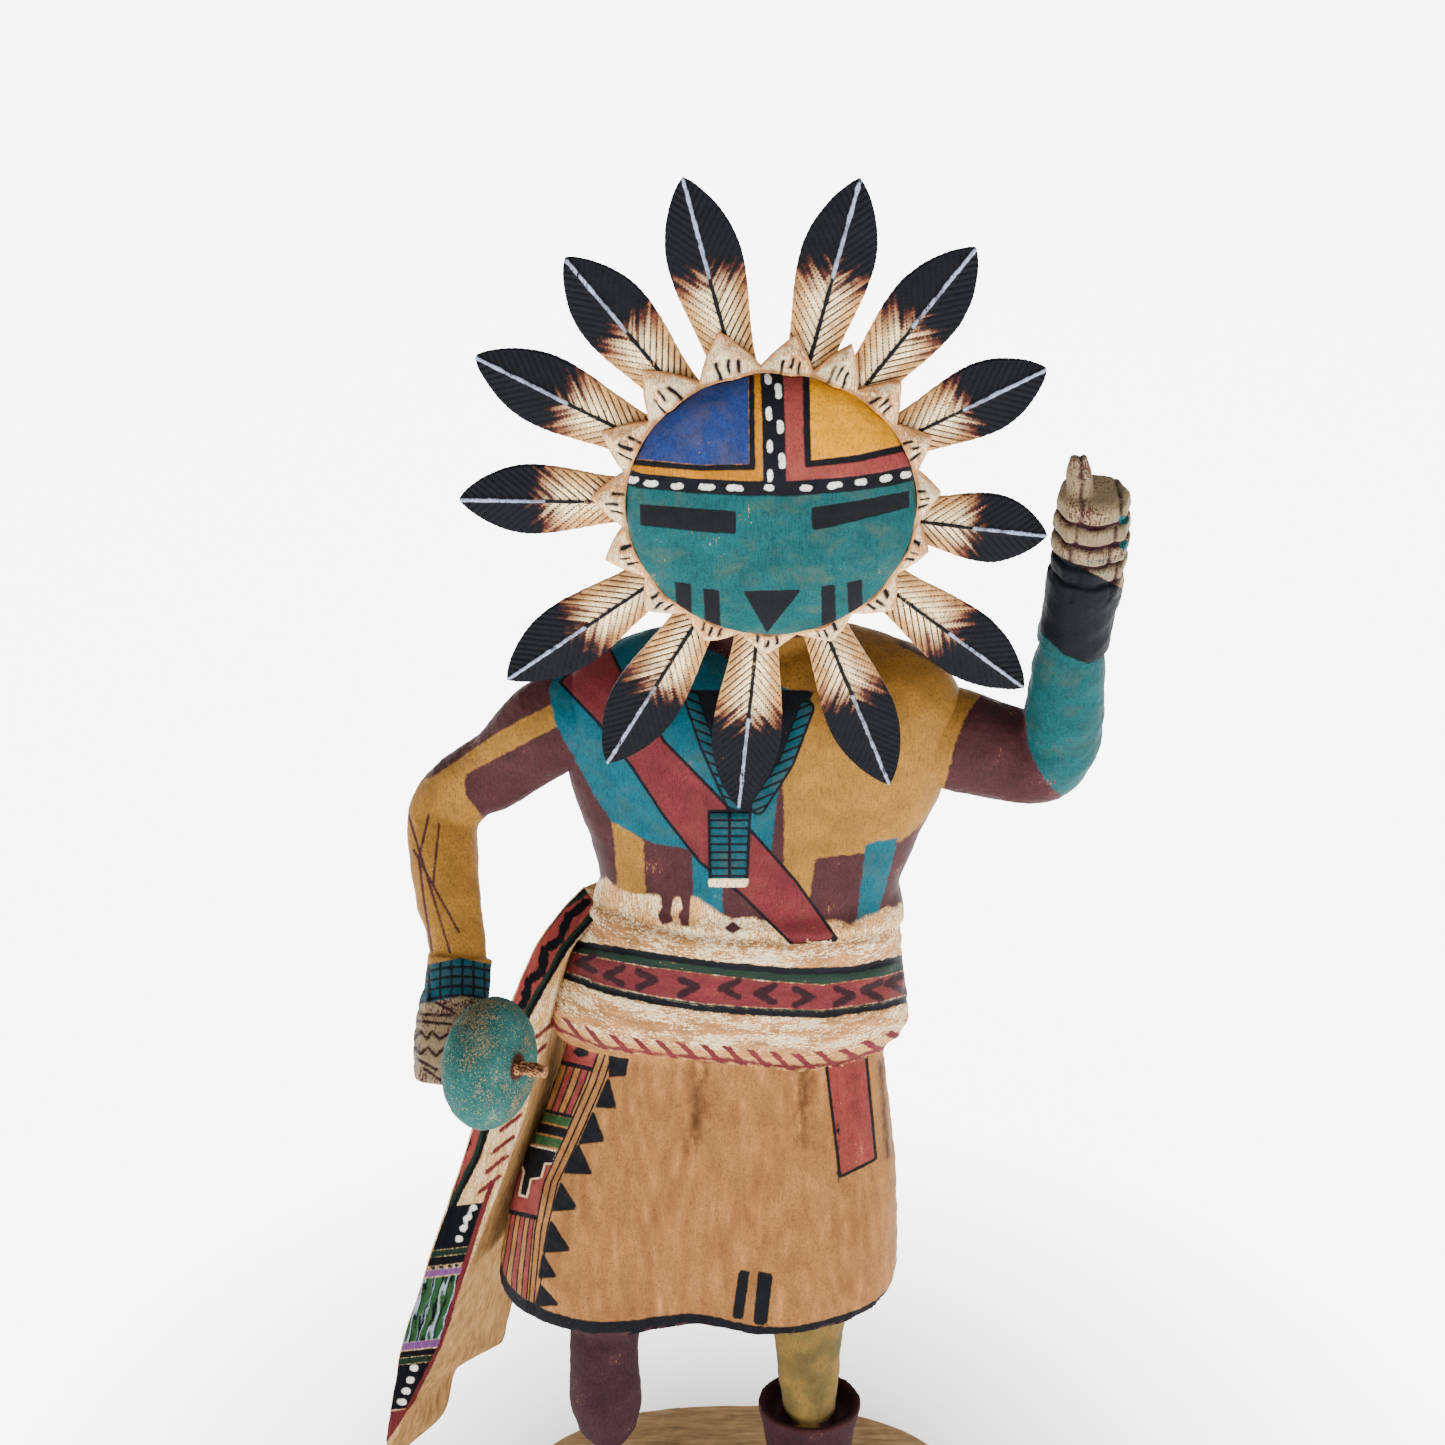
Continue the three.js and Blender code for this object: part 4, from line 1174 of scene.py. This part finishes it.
forward = (0, -1, 0)
arms = {
    "right": {
        "arm": [(-34, -1, 272, 10, 11), (-47, -1, 268, 10.8, 12.5), (-62, 2, 254, 9.4, 10),
                (-71.5, 4.5, 247, 9.2, 9.2), (-77, 4, 239.5, 9.2, 9.2), (-76.8, -3, 231, 8.6, 8.8),
                (-75.5, -9, 223, 8.2, 8.2), (-73.5, -14, 215, 7.2, 7.4), (-72.2, -20, 206, 6.6, 6.6),
                (-73, -23, 200.5, 6.8, 6.8)],
        "cuff": [(-72.3, -17.5, 210, 8.2, 8.2), (-73.1, -22.8, 201, 8.3, 8.3)],
        "from": (-73.4, -23, 202.5), "to": (-75.2, -33, 182.5), "half": (8, 9.4), "relief": 0.05,
        "thumb": [(-69, -28, 201, 3.1, 2.9), (-66.5, -32, 195, 3.2, 2.9), (-66.5, -34, 189, 2.5, 2.3)],
    },
    "left": {
        "arm": [(38, -1, 269, 10, 12), (52, -1.5, 264, 12, 13), (66, -1, 259.5, 11, 12.2),
                (73.5, -2, 258.5, 11, 11.2), (77.6, -4, 264, 10.6, 10.4), (78.4, -7, 273, 9.6, 9.8),
                (78.2, -11, 287, 8.6, 9), (78.2, -15, 298, 7, 7.4), (79, -19, 310, 6.6, 6.6),
                (79.6, -21, 316, 6.6, 6.6)],
        "cuff": [(78.2, -15, 297, 8.6, 8.8), (78.6, -18, 306, 8.3, 8.6), (79.2, -21, 316.5, 9, 9.2)],
        "from": (79.4, -21.5, 313.5), "to": (78.4, -29, 340.5), "half": (8.4, 9.0), "relief": 0.26,
        "thumb": [(76, -29, 337, 3.4, 3.2), (74.6, -29.5, 344, 2.9, 2.9),
                  (74.2, -29.5, 348.6, 2.0, 2.1)],
    },
    "rows": 5, "voxel": 0.5, "fistRings": 110, "fistSides": 72,
}


def fistAxes(hand):
    start, end = np.array(hand["from"], float), np.array(hand["to"], float)
    along = (end - start) / np.linalg.norm(end - start)
    side = np.array(forward, float)
    wide = side - along * side.dot(along)
    wide /= np.linalg.norm(wide)
    return start, end, along, wide, np.cross(along, wide)


def makeFist(hand):     # rows of folded fingers with sharp valleys and flat cut knuckles
    start, end, along, wide, deep = fistAxes(hand)
    rings = []
    sides = arms["fistSides"]
    for t in np.linspace(0, 1, arms["fistRings"]):
        phase = (t * arms["rows"]) % 1
        ridge = 1 - hand["relief"] * (1 - min(1, (1 - abs(2 * phase - 1)) * 2.2) ** 0.7)
        taper = 0.82 + 0.18 * math.sin(math.pi * (0.12 + 0.76 * t))
        angles = (np.arange(sides) + 0.5) * 2 * math.pi / sides
        facet = 1 / np.cos((angles % (math.pi / 4)) - math.pi / 8) * 0.95
        a = hand["half"][0] * ridge * taper * squarish(np.cos(angles), 0.85) * facet
        b = hand["half"][1] * ridge * taper * squarish(np.sin(angles), 0.85) * facet
        centre = start + (end - start) * t + [0, 0, soleZ]
        rings.append(centre + np.outer(a, wide) + np.outer(b, deep))
    return ringSkin(rings)


def handPlaces(places, hand):       # along the fist 0 to 1, then out along each side
    start, end, along, wide, deep = fistAxes(hand)
    rel = places - start - [0, 0, soleZ]
    return rel @ along / np.linalg.norm(end - start), rel @ wide, rel @ deep


def knuckleLines(t, deep):      # distance from the cuts that end each finger's flat front
    row = np.floor(np.clip(t, 0, 0.999) * arms["rows"])
    return np.abs(np.abs(deep - 1.2 * np.sin(row * 2.1)) - 4.4)


def makeArm(name, key, drawing):
    a = arms[key]
    shells = [limb(a["arm"], forward, sides=48, rows=90), limb(a["cuff"], forward, sides=48, rows=16),
              makeFist(a), limb(a["thumb"], forward, sides=24, rows=16)]
    obj = oneSkin(name, shells, arms["voxel"], 2)
    places = readPoints(obj)
    t, wide, deep = handPlaces(places, a)
    offset = lumps(places, 8.0, 61) * 0.12 + lumps(places, 2.8, 62) * 0.06
    onHand = (t > 0.02) & (np.hypot(wide, deep) < 14)
    fingers = np.where(a["relief"] > 0.1, knuckleLines(t, deep), 9.0)
    offset = offset - np.where(onHand, dent(fingers, 0.5) * 0.4, 0)
    pushPoints(obj, offset)
    places = readPoints(obj)
    drawing(obj, places, a)
    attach(obj, "root")
    return obj


rightDrawing = {
    "stripe": [(560, 700), (560, 725), (466, 774), (463, 790), (420, 790), (433, 777), (500, 731)],
    "forearm": [(380, 796), (410, 782), (433, 777), (463, 776), (466, 795), (481, 815), (500, 850),
                (510, 975), (420, 975), (380, 900)],
    "scratches": [[(409, 816), (450, 952)], [(414, 850), (459, 932)],
                  [(429, 814), (419, 858), (424, 900), (432, 950)],
                  [(439, 824), (433, 886)]],
    "knuckles": [[(436, 1002), (455, 1013)], [(421, 1014), (451, 1015)], [(418, 1021), (451, 1024)],
                 [(415, 1038), (421, 1031), (427, 1039), (432, 1031), (440, 1039), (448, 1034)],
                 [(413, 1046), (421, 1054), (428, 1047), (436, 1056), (444, 1048)],
                 [(417, 1059), (436, 1069)], [(424, 1068), (446, 1084)], [(415, 1008), (409, 1040)]],
    "bracelet": [(420, 966), (460, 958), (500, 966), (503, 1003), (460, 996), (420, 1005)],
    "hand": [(380, 990), (420, 1004), (460, 996), (503, 1002), (530, 1110), (380, 1110)],
}
leftDrawing = {
    "forearm": [(1027, 740), (1025, 716), (1016, 702), (1016, 560), (1140, 560), (1140, 820),
                (1076, 810), (1046, 782), (1030, 752)],
    "guard": [(1030, 540), (1125, 590), (1118, 652), (1104, 657), (1088, 664), (1064, 655), (1040, 632)],
    "hand": [(1030, 430), (1160, 430), (1160, 560), (1119, 603), (1090, 598), (1056, 574), (1040, 540)],
    "stones": [(1124, 520), (1125, 545)],
}


def drawRightArm(obj, places, hand):
    u, v = photoPlace(places)
    d = rightDrawing
    forearm = area(u, v, d["forearm"])
    setField(obj, "rightMustard", either(area(u, v, d["stripe"]), forearm))
    setField(obj, "rightShoulder", area(u, v, torsoDrawing["shoulder"]))
    setField(obj, "rightStrap", area(u, v, torsoDrawing["strap"]))
    setField(obj, "rightScratches", strokes(u, v, d["scratches"], 2.6))
    cuff = area(u, v, d["bracelet"])
    setField(obj, "rightBracelet", cuff)
    bow = ((u - 460) / 40) ** 2 * 7
    grid = either(np.abs((v - bow - 962) / 9.5 % 1 - 0.5) * 9.5 - 1.3,
                  np.abs((u - 424) / 11 % 1 - 0.5) * 11 - 1.2)
    setField(obj, "rightGrid", both(grid, cuff))
    skin = area(u, v, d["hand"])
    setField(obj, "rightHandSkin", skin)
    setField(obj, "rightHandCuts", both(strokes(u, v, d["knuckles"], 3), skin))
    obj.data.materials.append(paintedWood("rightArmPaint", [
        coat("maroon", None, 0.42),
        coat("mustard", "rightMustard", 0.5, 2.0, 2.0),
        coat("sky", "rightShoulder", 0.42, 2.0, 2.6),
        coat("strap", "rightStrap", 0.4, 1.5, 1.0),
        coat("black", "rightStrap", 0.2, wobble=0.7, line=1.4, groove=0.9),
        coat("maroon", "rightScratches", 0.05, 1.2, 0.6, groove=0.9),
        coat("deepTurquoise", "rightBracelet", 0.4, 1.5, 0.8),
        coat("black", "rightGrid", 0.05, 1.2, 0.6, groove=0.9),
        coat("hand", "rightHandSkin", 0.88, 2.0, 2.0),
        coat("wine", "rightHandCuts", 0.3, 1.6, 1.2, groove=0.8),
    ], wood=(150, 100, 76), roughness=0.66))
    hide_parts("arm_right")


def drawLeftArm(obj, places, hand):
    u, v = photoPlace(places)
    d = leftDrawing
    setField(obj, "leftForearm", area(u, v, d["forearm"]))
    setField(obj, "leftChest", area(u, v, torsoDrawing["chest"]))
    guard = area(u, v, d["guard"])
    setField(obj, "leftGuard", guard)
    t, wide, deep = handPlaces(places, hand)
    phase = (t * arms["rows"]) % 1
    valley = (np.where(t > 0.97, 1, np.minimum(phase, 1 - phase)) - 0.13) * 26
    skin = area(u, v, d["hand"])
    setField(obj, "leftHandSkin", skin)
    setField(obj, "leftHandValleys", both(either(valley, knuckleLines(t, deep) * 4 - 1.6), skin))
    setField(obj, "leftStones", spots(u, v, d["stones"], 9))
    obj.data.materials.append(paintedWood("leftArmPaint", [
        coat("maroon", None, 0.42),
        coat("mustard", "leftChest", 0.45, 2.0, 3.0),
        coat("turquoise", "leftForearm", 0.52, 2.0, 2.0),
        coat("hand", "leftHandSkin", 0.72, 2.0, 2.0),
        coat("wine", "leftHandValleys", 0.55, 3.0, 2.6, groove=0.6),
        coat("black", "leftGuard", 0.1, 1.5, 1.0),
        coat("turquoise", "leftStones", 0.0, 1.5, 0.5),
    ], wood=(150, 100, 76), roughness=0.64))
    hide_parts("arm_left")


makeArm("carved_right_arm", "right", drawRightArm)
makeArm("carved_left_arm", "left", drawLeftArm)
print("arms made")


# The hanging sash: a front crest, an outer painted face and a bare inner face

sashEdges = [       # front crest, outer edge and inner edge, from the hip down
    ((-37.5, -9, 217), (-42, 6, 217), (-33, 12, 216)),
    ((-45.5, -9, 205), (-51, 8, 205), (-40, 18, 203)),
    ((-51.5, -11, 186), (-61.5, 11, 182), (-42, 26, 178)),
    ((-58.5, -12.5, 158), (-70.5, 15, 150), (-48, 31, 142)),
    ((-74, -8, 110), (-87.6, 23, 94), (-62, 35, 84)),
    ((-90, -2, 66), (-101, 24, 51), (-70.5, 35, 50)),
    ((-93, -0.5, 58), (-102.5, 24, 45), (-72.5, 35, 41)),
    ((-97, 1, 46.5), (-103.8, 23, 37.5), (-86.5, 31, 33.5)),
    ((-101, 3, 35.5), (-105.6, 21.5, 28.5), (-90, 28, 20.5)),
    ((-105.5, 5.5, 21), (-107.3, 17.5, 18.5), (-101.5, 23, 10.5)),
]
sashRings = 260
sashColumns = 25        # on each of its four faces
sashDrawing = {
    "band": [(602, 884), (584, 889), (560, 905), (540, 930), (516, 968), (498, 1005), (467, 1092),
             (448, 1150), (428, 1225), (446, 1222), (478, 1160), (500, 1090), (532, 1010), (566, 950),
             (604, 905)],
    "zigzag": [(586, 902), (568, 918), (560, 940), (545, 950), (542, 972), (528, 982), (524, 1004),
               (512, 1014), (507, 1040), (498, 1050), (492, 1075), (484, 1085), (480, 1110), (470, 1122),
               (466, 1146), (456, 1160), (454, 1182), (446, 1196), (442, 1214)],
    "innerLine": [(604, 905), (575, 960), (556, 1020), (544, 1054), (522, 1102), (499, 1170),
                  (488, 1199), (466, 1270), (443, 1345), (415, 1401), (384, 1445), (370, 1470)],
    "strokes": [(548, 1028), (538, 1052), (528, 1078), (520, 1100), (512, 1122), (504, 1144),
                (497, 1164), (490, 1184)],
    "blackTop": (1202, 1246), "green": [(1246, 1253), (1354, 1361), (1262, 1266)],
    "lilac": [(1266, 1273), (1338, 1346)],
    "panel": (1274, 1338), "blackLow": (1361, 1408),
    "dots": [(473, 1208), (468, 1218), (464, 1228), (459, 1239), (414, 1368), (410, 1380), (406, 1391),
             (402, 1402)],
}


def makeSash():
    knots = np.linspace(0, 1, len(sashEdges))
    edges = np.array(sashEdges, float)
    rings = []
    corners = []
    for t in np.linspace(0, 1, sashRings):
        front, outer, inner = [np.array([easeThrough(knots, edges[:, k, i], t) for i in range(3)])
                               for k in range(3)]
        back = (outer + inner) / 2 + [0, 1.5, 0]
        loop = [front, outer, back, inner]
        ring = []
        for i in range(4):
            a, b = loop[i], loop[(i + 1) % 4]
            for f in np.linspace(0, 1, sashColumns + 1)[:-1]:
                ring.append(a + (b - a) * f)
                corners.append(i)
        rings.append(np.array(ring) + [0, 0, soleZ])
    verts, faces = ringSkin(rings)
    obj = makeObject("carved_sash", verts, faces)
    corners += [2, 2]
    places = readPoints(obj)
    u, v = photoPlace(places)
    side = np.array(corners)
    hollow = lumps(places * [1, 1, 0.3], 9, 71) * 0.16 + lumps(places, 4, 72) * 0.08
    pushPoints(obj, hollow)
    d = sashDrawing
    band = area(u, v, d["band"])
    line = acrossAt(v, d["innerLine"])
    painted = np.select([side == 0, side == 3], [-60.0, u - line], 60.0)
    lean = v + (u - line) * 0.12
    setField(obj, "sashCream", painted)
    setField(obj, "sashRed", both(band, painted))
    setField(obj, "sashZigzag", both(stroke(u, v, d["zigzag"], 9), band + 6, painted, v - 1220))
    setField(obj, "sashBorder", both(between(band, -6.5, 1), painted))
    setField(obj, "sashBandEdge", both(between(band, -2.6, 1.6), painted))
    setField(obj, "sashInnerLine", both(np.abs(u - line + 2) - 2.8, painted, 1180 - v))
    slants = [[(x - 12, y + 9), (x + 10, y - 8)] for x, y in d["strokes"]]
    setField(obj, "sashStrokes", both(strokes(u, v, slants, 4.2), painted))
    lower = both(painted, u - line + 1)
    setField(obj, "sashBlack", both(lower,
                                    either(between(lean, *d["blackTop"]), between(lean, *d["blackLow"]),
                                                  between(lean, 1253, 1262), between(lean, 1347, 1354))))
    setField(obj, "sashGreen", both(lower, either(*[between(lean, *g) for g in d["green"]])))
    setField(obj, "sashLilac", both(lower, either(*[between(lean, *g) for g in d["lilac"]])))
    panel = both(lower, between(lean, *d["panel"]))
    setField(obj, "sashPanel", panel)
    setField(obj, "sashHatch", u - line + lumps(places, 9, 73) * 3)
    setField(obj, "sashDots", both(spots(u, v, d["dots"], 6.5), painted))
    setField(obj, "sashRedEnd", both(lower, 1409 - lean))
    obj.data.materials.append(paintedWood("sashPaint", [
        coat("gold", "sashCream", 0.5),
        coat("bone", "sashCream", 1.02),
        coat("brick", "sashRed", 0.45, 1.6, 1.4),
        coat("black", "sashZigzag", 0.3, 1.5, 4.0),
        coat("green", "sashBorder", 0.3, 1.5, 1.4),
        coat("black", "sashBandEdge", 0.1, 1.5, 1.4),
        coat("strap", "sashStrokes", 0.2, 1.6, 1.0, groove=0.8),
        coat("black", "sashBlack", 0.1, 1.4, 1.2),
        coat("green", "sashGreen", 0.15, 1.4, 1.0),
        coat("lilac", "sashLilac", 0.15, 1.4, 1.0),
        coat("leafGreen", "sashPanel", 0.2, 1.4, 1.0),
        coat("quill", "sashHatch", 0.6, 1.4, 1.6, line=1.5, pitch=11.0, within="sashPanel"),
        coat("black", "sashHatch", 0.5, 1.2, 1.4, line=1.0, pitch=8.0, within="sashPanel"),
        coat("strap", "sashRedEnd", 0.15, 1.4, 1.0),
        coat("strap", "sashInnerLine", 0.15, 1.4, 1.0, groove=0.6),
        coat("white", "sashDots", 0.0, 1.3, 0.7),
    ], wood=(164, 126, 80), grain=(1, 1, 0.06), roughness=0.66, figure=0.25,
        shine=0.01, streaky=True))
    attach(obj, "root")
    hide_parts("trailing_sash")


makeSash()
print("sash made")


# The rattle: a speckled gourd on a rough twig

rattle = {"at": (-62.9, -44.5, 196), "axis": (0.87, -0.46, 0.16), "radius": 16.6, "thickness": 17,
          "rings": 90, "sides": 128, "stick": 2.3, "reach": 16.3, "stickRings": 50, "stickSides": 28}


def rattleFrame():
    axis = np.array(rattle["axis"])
    axis /= np.linalg.norm(axis)
    side = np.cross(axis, [0, 0, 1.0])
    side /= np.linalg.norm(side)
    return np.array(rattle["at"]) + [0, 0, soleZ], axis, side, np.cross(axis, side)


def turned(profile, sides):     # rings of a profile of (radius, place) about the rattle's axis
    at, axis, side, up = rattleFrame()
    angles = turns(sides)
    return [at + axis * p + np.outer(np.cos(angles) * r, side) + np.outer(np.sin(angles) * r, up)
            for r, p in profile]


def makeRattle():
    r = rattle
    profile = []
    for angle in np.linspace(-math.pi / 2, math.pi / 2, r["rings"]):
        out = max(0.3, (r["radius"] - 0.25) * math.cos(angle) ** 0.85)
        profile.append((out, (r["thickness"] / 2 - 0.2) * math.sin(angle)))
    verts, faces = ringSkin(turned(profile, r["sides"]))
    gourd = makeObject("gourd_rattle", verts, faces)
    places = readPoints(gourd)
    pushPoints(gourd, lumps(places, 6, 81) * 0.12 + lumps(places, 1.5, 82) * 0.07)
    at, axis, side, up = rattleFrame()
    rel = readPoints(gourd) - at
    rim = np.linalg.norm(rel - np.outer(rel @ axis, axis), axis=1)
    setField(gourd, "gourdNeck", (rim - 3.4) * 4)
    gourd.data.materials.append(paintedWood("gourdPaint", [
        coat("gourd", None, 0.6),
        coat("sand", None, 1.16),
        coat("barb", "gourdNeck", 0.2, 4.0, 4.0),
    ], wood=(128, 128, 100), grain=(1, 1, 1), roughness=0.85, speckle=0.6, bumpSize=1.4))
    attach(gourd, "root")
    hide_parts("rattle_gourd")
    profile = [(0.4, -r["thickness"] / 2 - 2.8)]
    for t in np.linspace(0, 1, r["stickRings"]):
        rough = 1 + 0.09 * math.sin(t * 37) + 0.06 * math.sin(t * 83)
        along = -r["thickness"] / 2 - 2.6 + t * (r["reach"] + r["thickness"] / 2 + 2.4)
        profile.append((r["stick"] * (0.95 - 0.25 * t) * rough, along))
    verts, faces = ringSkin(turned(profile, r["stickSides"]))
    twig = makeObject("rattle_twig", verts, faces)
    places = readPoints(twig)
    pushPoints(twig, lumps(places * [0.3, 0.3, 1], 1.8, 83) * 0.10)
    twig.data.materials.append(paintedWood("twigBark", [
        coat("barb", None, 0.95),
    ], wood=(172, 120, 78), grain=(0.2, 0.3, 1), roughness=0.85, bumpSize=0.8))
    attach(twig, "root")
    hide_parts("rattle_stick")


makeRattle()
print("rattle made")


# The base: a low slab of bare wood with softened edges

base = {"width": 142, "depth": 108, "height": 15, "round": 1.6, "sides": 260}


def makeBase():
    b = base
    angles = turns(b["sides"])
    c, d = np.cos(angles), np.sin(angles)
    rings = []
    corner = [(b["round"] * (1 - math.sin(a)), b["round"] * (1 - math.cos(a)))
              for a in np.linspace(0, math.pi / 2, 6)]
    levels = [(p[1], p[0]) for p in corner]
    levels += [(z, 0) for z in np.linspace(b["round"] + 0.5, b["height"] - b["round"] - 0.5, 8)]
    levels += [(b["height"] - p[1], p[0]) for p in reversed(corner)]
    rim = len(levels)
    levels += [(b["height"], inset) for inset in (6, 14, 24, 36, 50)]
    for z, inset in sorted(levels[:rim], key=lambda p: p[0]) + levels[rim:]:
        x = (b["width"] / 2 - inset) * squarish(c, 0.8)
        y = (b["depth"] / 2 - inset) * squarish(d, 0.8)
        rings.append(np.stack([x, y, np.full(b["sides"], z)], axis=1))
    verts, faces = ringSkin(rings)
    obj = makeObject("wooden_base", verts, faces)
    places = readPoints(obj)
    out = np.hypot(places[:, 0] / (b["width"] / 2), places[:, 1] / (b["depth"] / 2))
    side = np.clip((out - 0.9) * 10, 0, 1) * (places[:, 2] > 2)
    pushPoints(obj, lumps(places * [1, 1, 0.4], 12, 91) * -0.12 * side - 0.14 * side)
    obj.data.materials.append(paintedWood("baseWood", [], wood=(192, 156, 112), grain=(0.12, 1, 1),
                                          roughness=0.6, figure=0.2))
    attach(obj, "root")
    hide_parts("base")


makeBase()
print("base made")


# Floor, lights and camera

floor = {"size": 60000, "paper": (252, 252, 251), "glowFrom": 50.0, "glowTo": 240.0, "glow": 7.0}


def makeFloor():        # white paper that is lit through from below, away from the doll
    s = Shader("floorPaper")
    away = s.node("ShaderNodeVectorMath", {"operation": "LENGTH"}, {0: s.places()})
    lit = ((s.out(away, 1) - floor["glowFrom"]) / (floor["glowTo"] - floor["glowFrom"])).clamp()
    shading = s.node("ShaderNodeBsdfPrincipled", None, {
        "Base Color": paint(*floor["paper"]), "Roughness": 0.8, "Emission Strength": floor["glow"],
        "Emission Color": s.mix(lit, (0, 0, 0, 1), (1, 1, 1, 1))})
    s.node("ShaderNodeOutputMaterial", None, {"Surface": s.out(shading, 0)})
    size = floor["size"]
    sheet = makeObject("floor", [(-size, -size, 0), (size, -size, 0), (size, size, 0), (-size, size, 0)],
                       [(0, 1, 2, 3)])
    sheet.data.materials.append(s.material)


# name, place in metres, size in metres and watts
lamps = [("keyLight", (-0.35, -1.0, 1.7), 0.9, 16), ("fillLight", (1.1, -0.9, 0.9), 1.0, 5),
         ("backLight", (0.3, 1.2, 1.3), 1.0, 6)]
lampAim = (0, 0, 0.25)
skyGlow = 0.42


def softLight(name, place, size, watts):
    lamp = bpy.data.lights.new(name, "AREA")
    lamp.shape = "DISK"
    lamp.size = size
    lamp.energy = watts
    obj = bpy.data.objects.new(name, lamp)
    obj.location = place
    way = np.array(lampAim) - np.array(place)
    way /= np.linalg.norm(way)
    obj.rotation_euler = (math.acos(-way[2]), 0, math.atan2(way[0], -way[1]) + math.pi)
    bpy.context.scene.collection.objects.link(obj)


def makeLights():
    for lamp in lamps:
        softLight(*lamp)
    world = bpy.data.worlds.new("studio")
    bpy.context.scene.world = world
    world.use_nodes = True
    world.node_tree.nodes["Background"].inputs[0].default_value = (1, 1, 1, 1)
    world.node_tree.nodes["Background"].inputs[1].default_value = skyGlow


def makeCamera():
    lens = bpy.data.cameras.new("view")
    lens.sensor_width = 36
    lens.lens = lens.sensor_width * view["focal"] / view["size"]
    lens.clip_start = 0.01
    camera = bpy.data.objects.new("view", lens)
    camera.location = tuple(eye * mm)
    camera.rotation_euler = (math.radians(90 - view["pitch"]), 0, 0)
    bpy.context.scene.collection.objects.link(camera)
    bpy.context.scene.camera = camera


makeFloor()
makeLights()
makeCamera()
print("stage set")
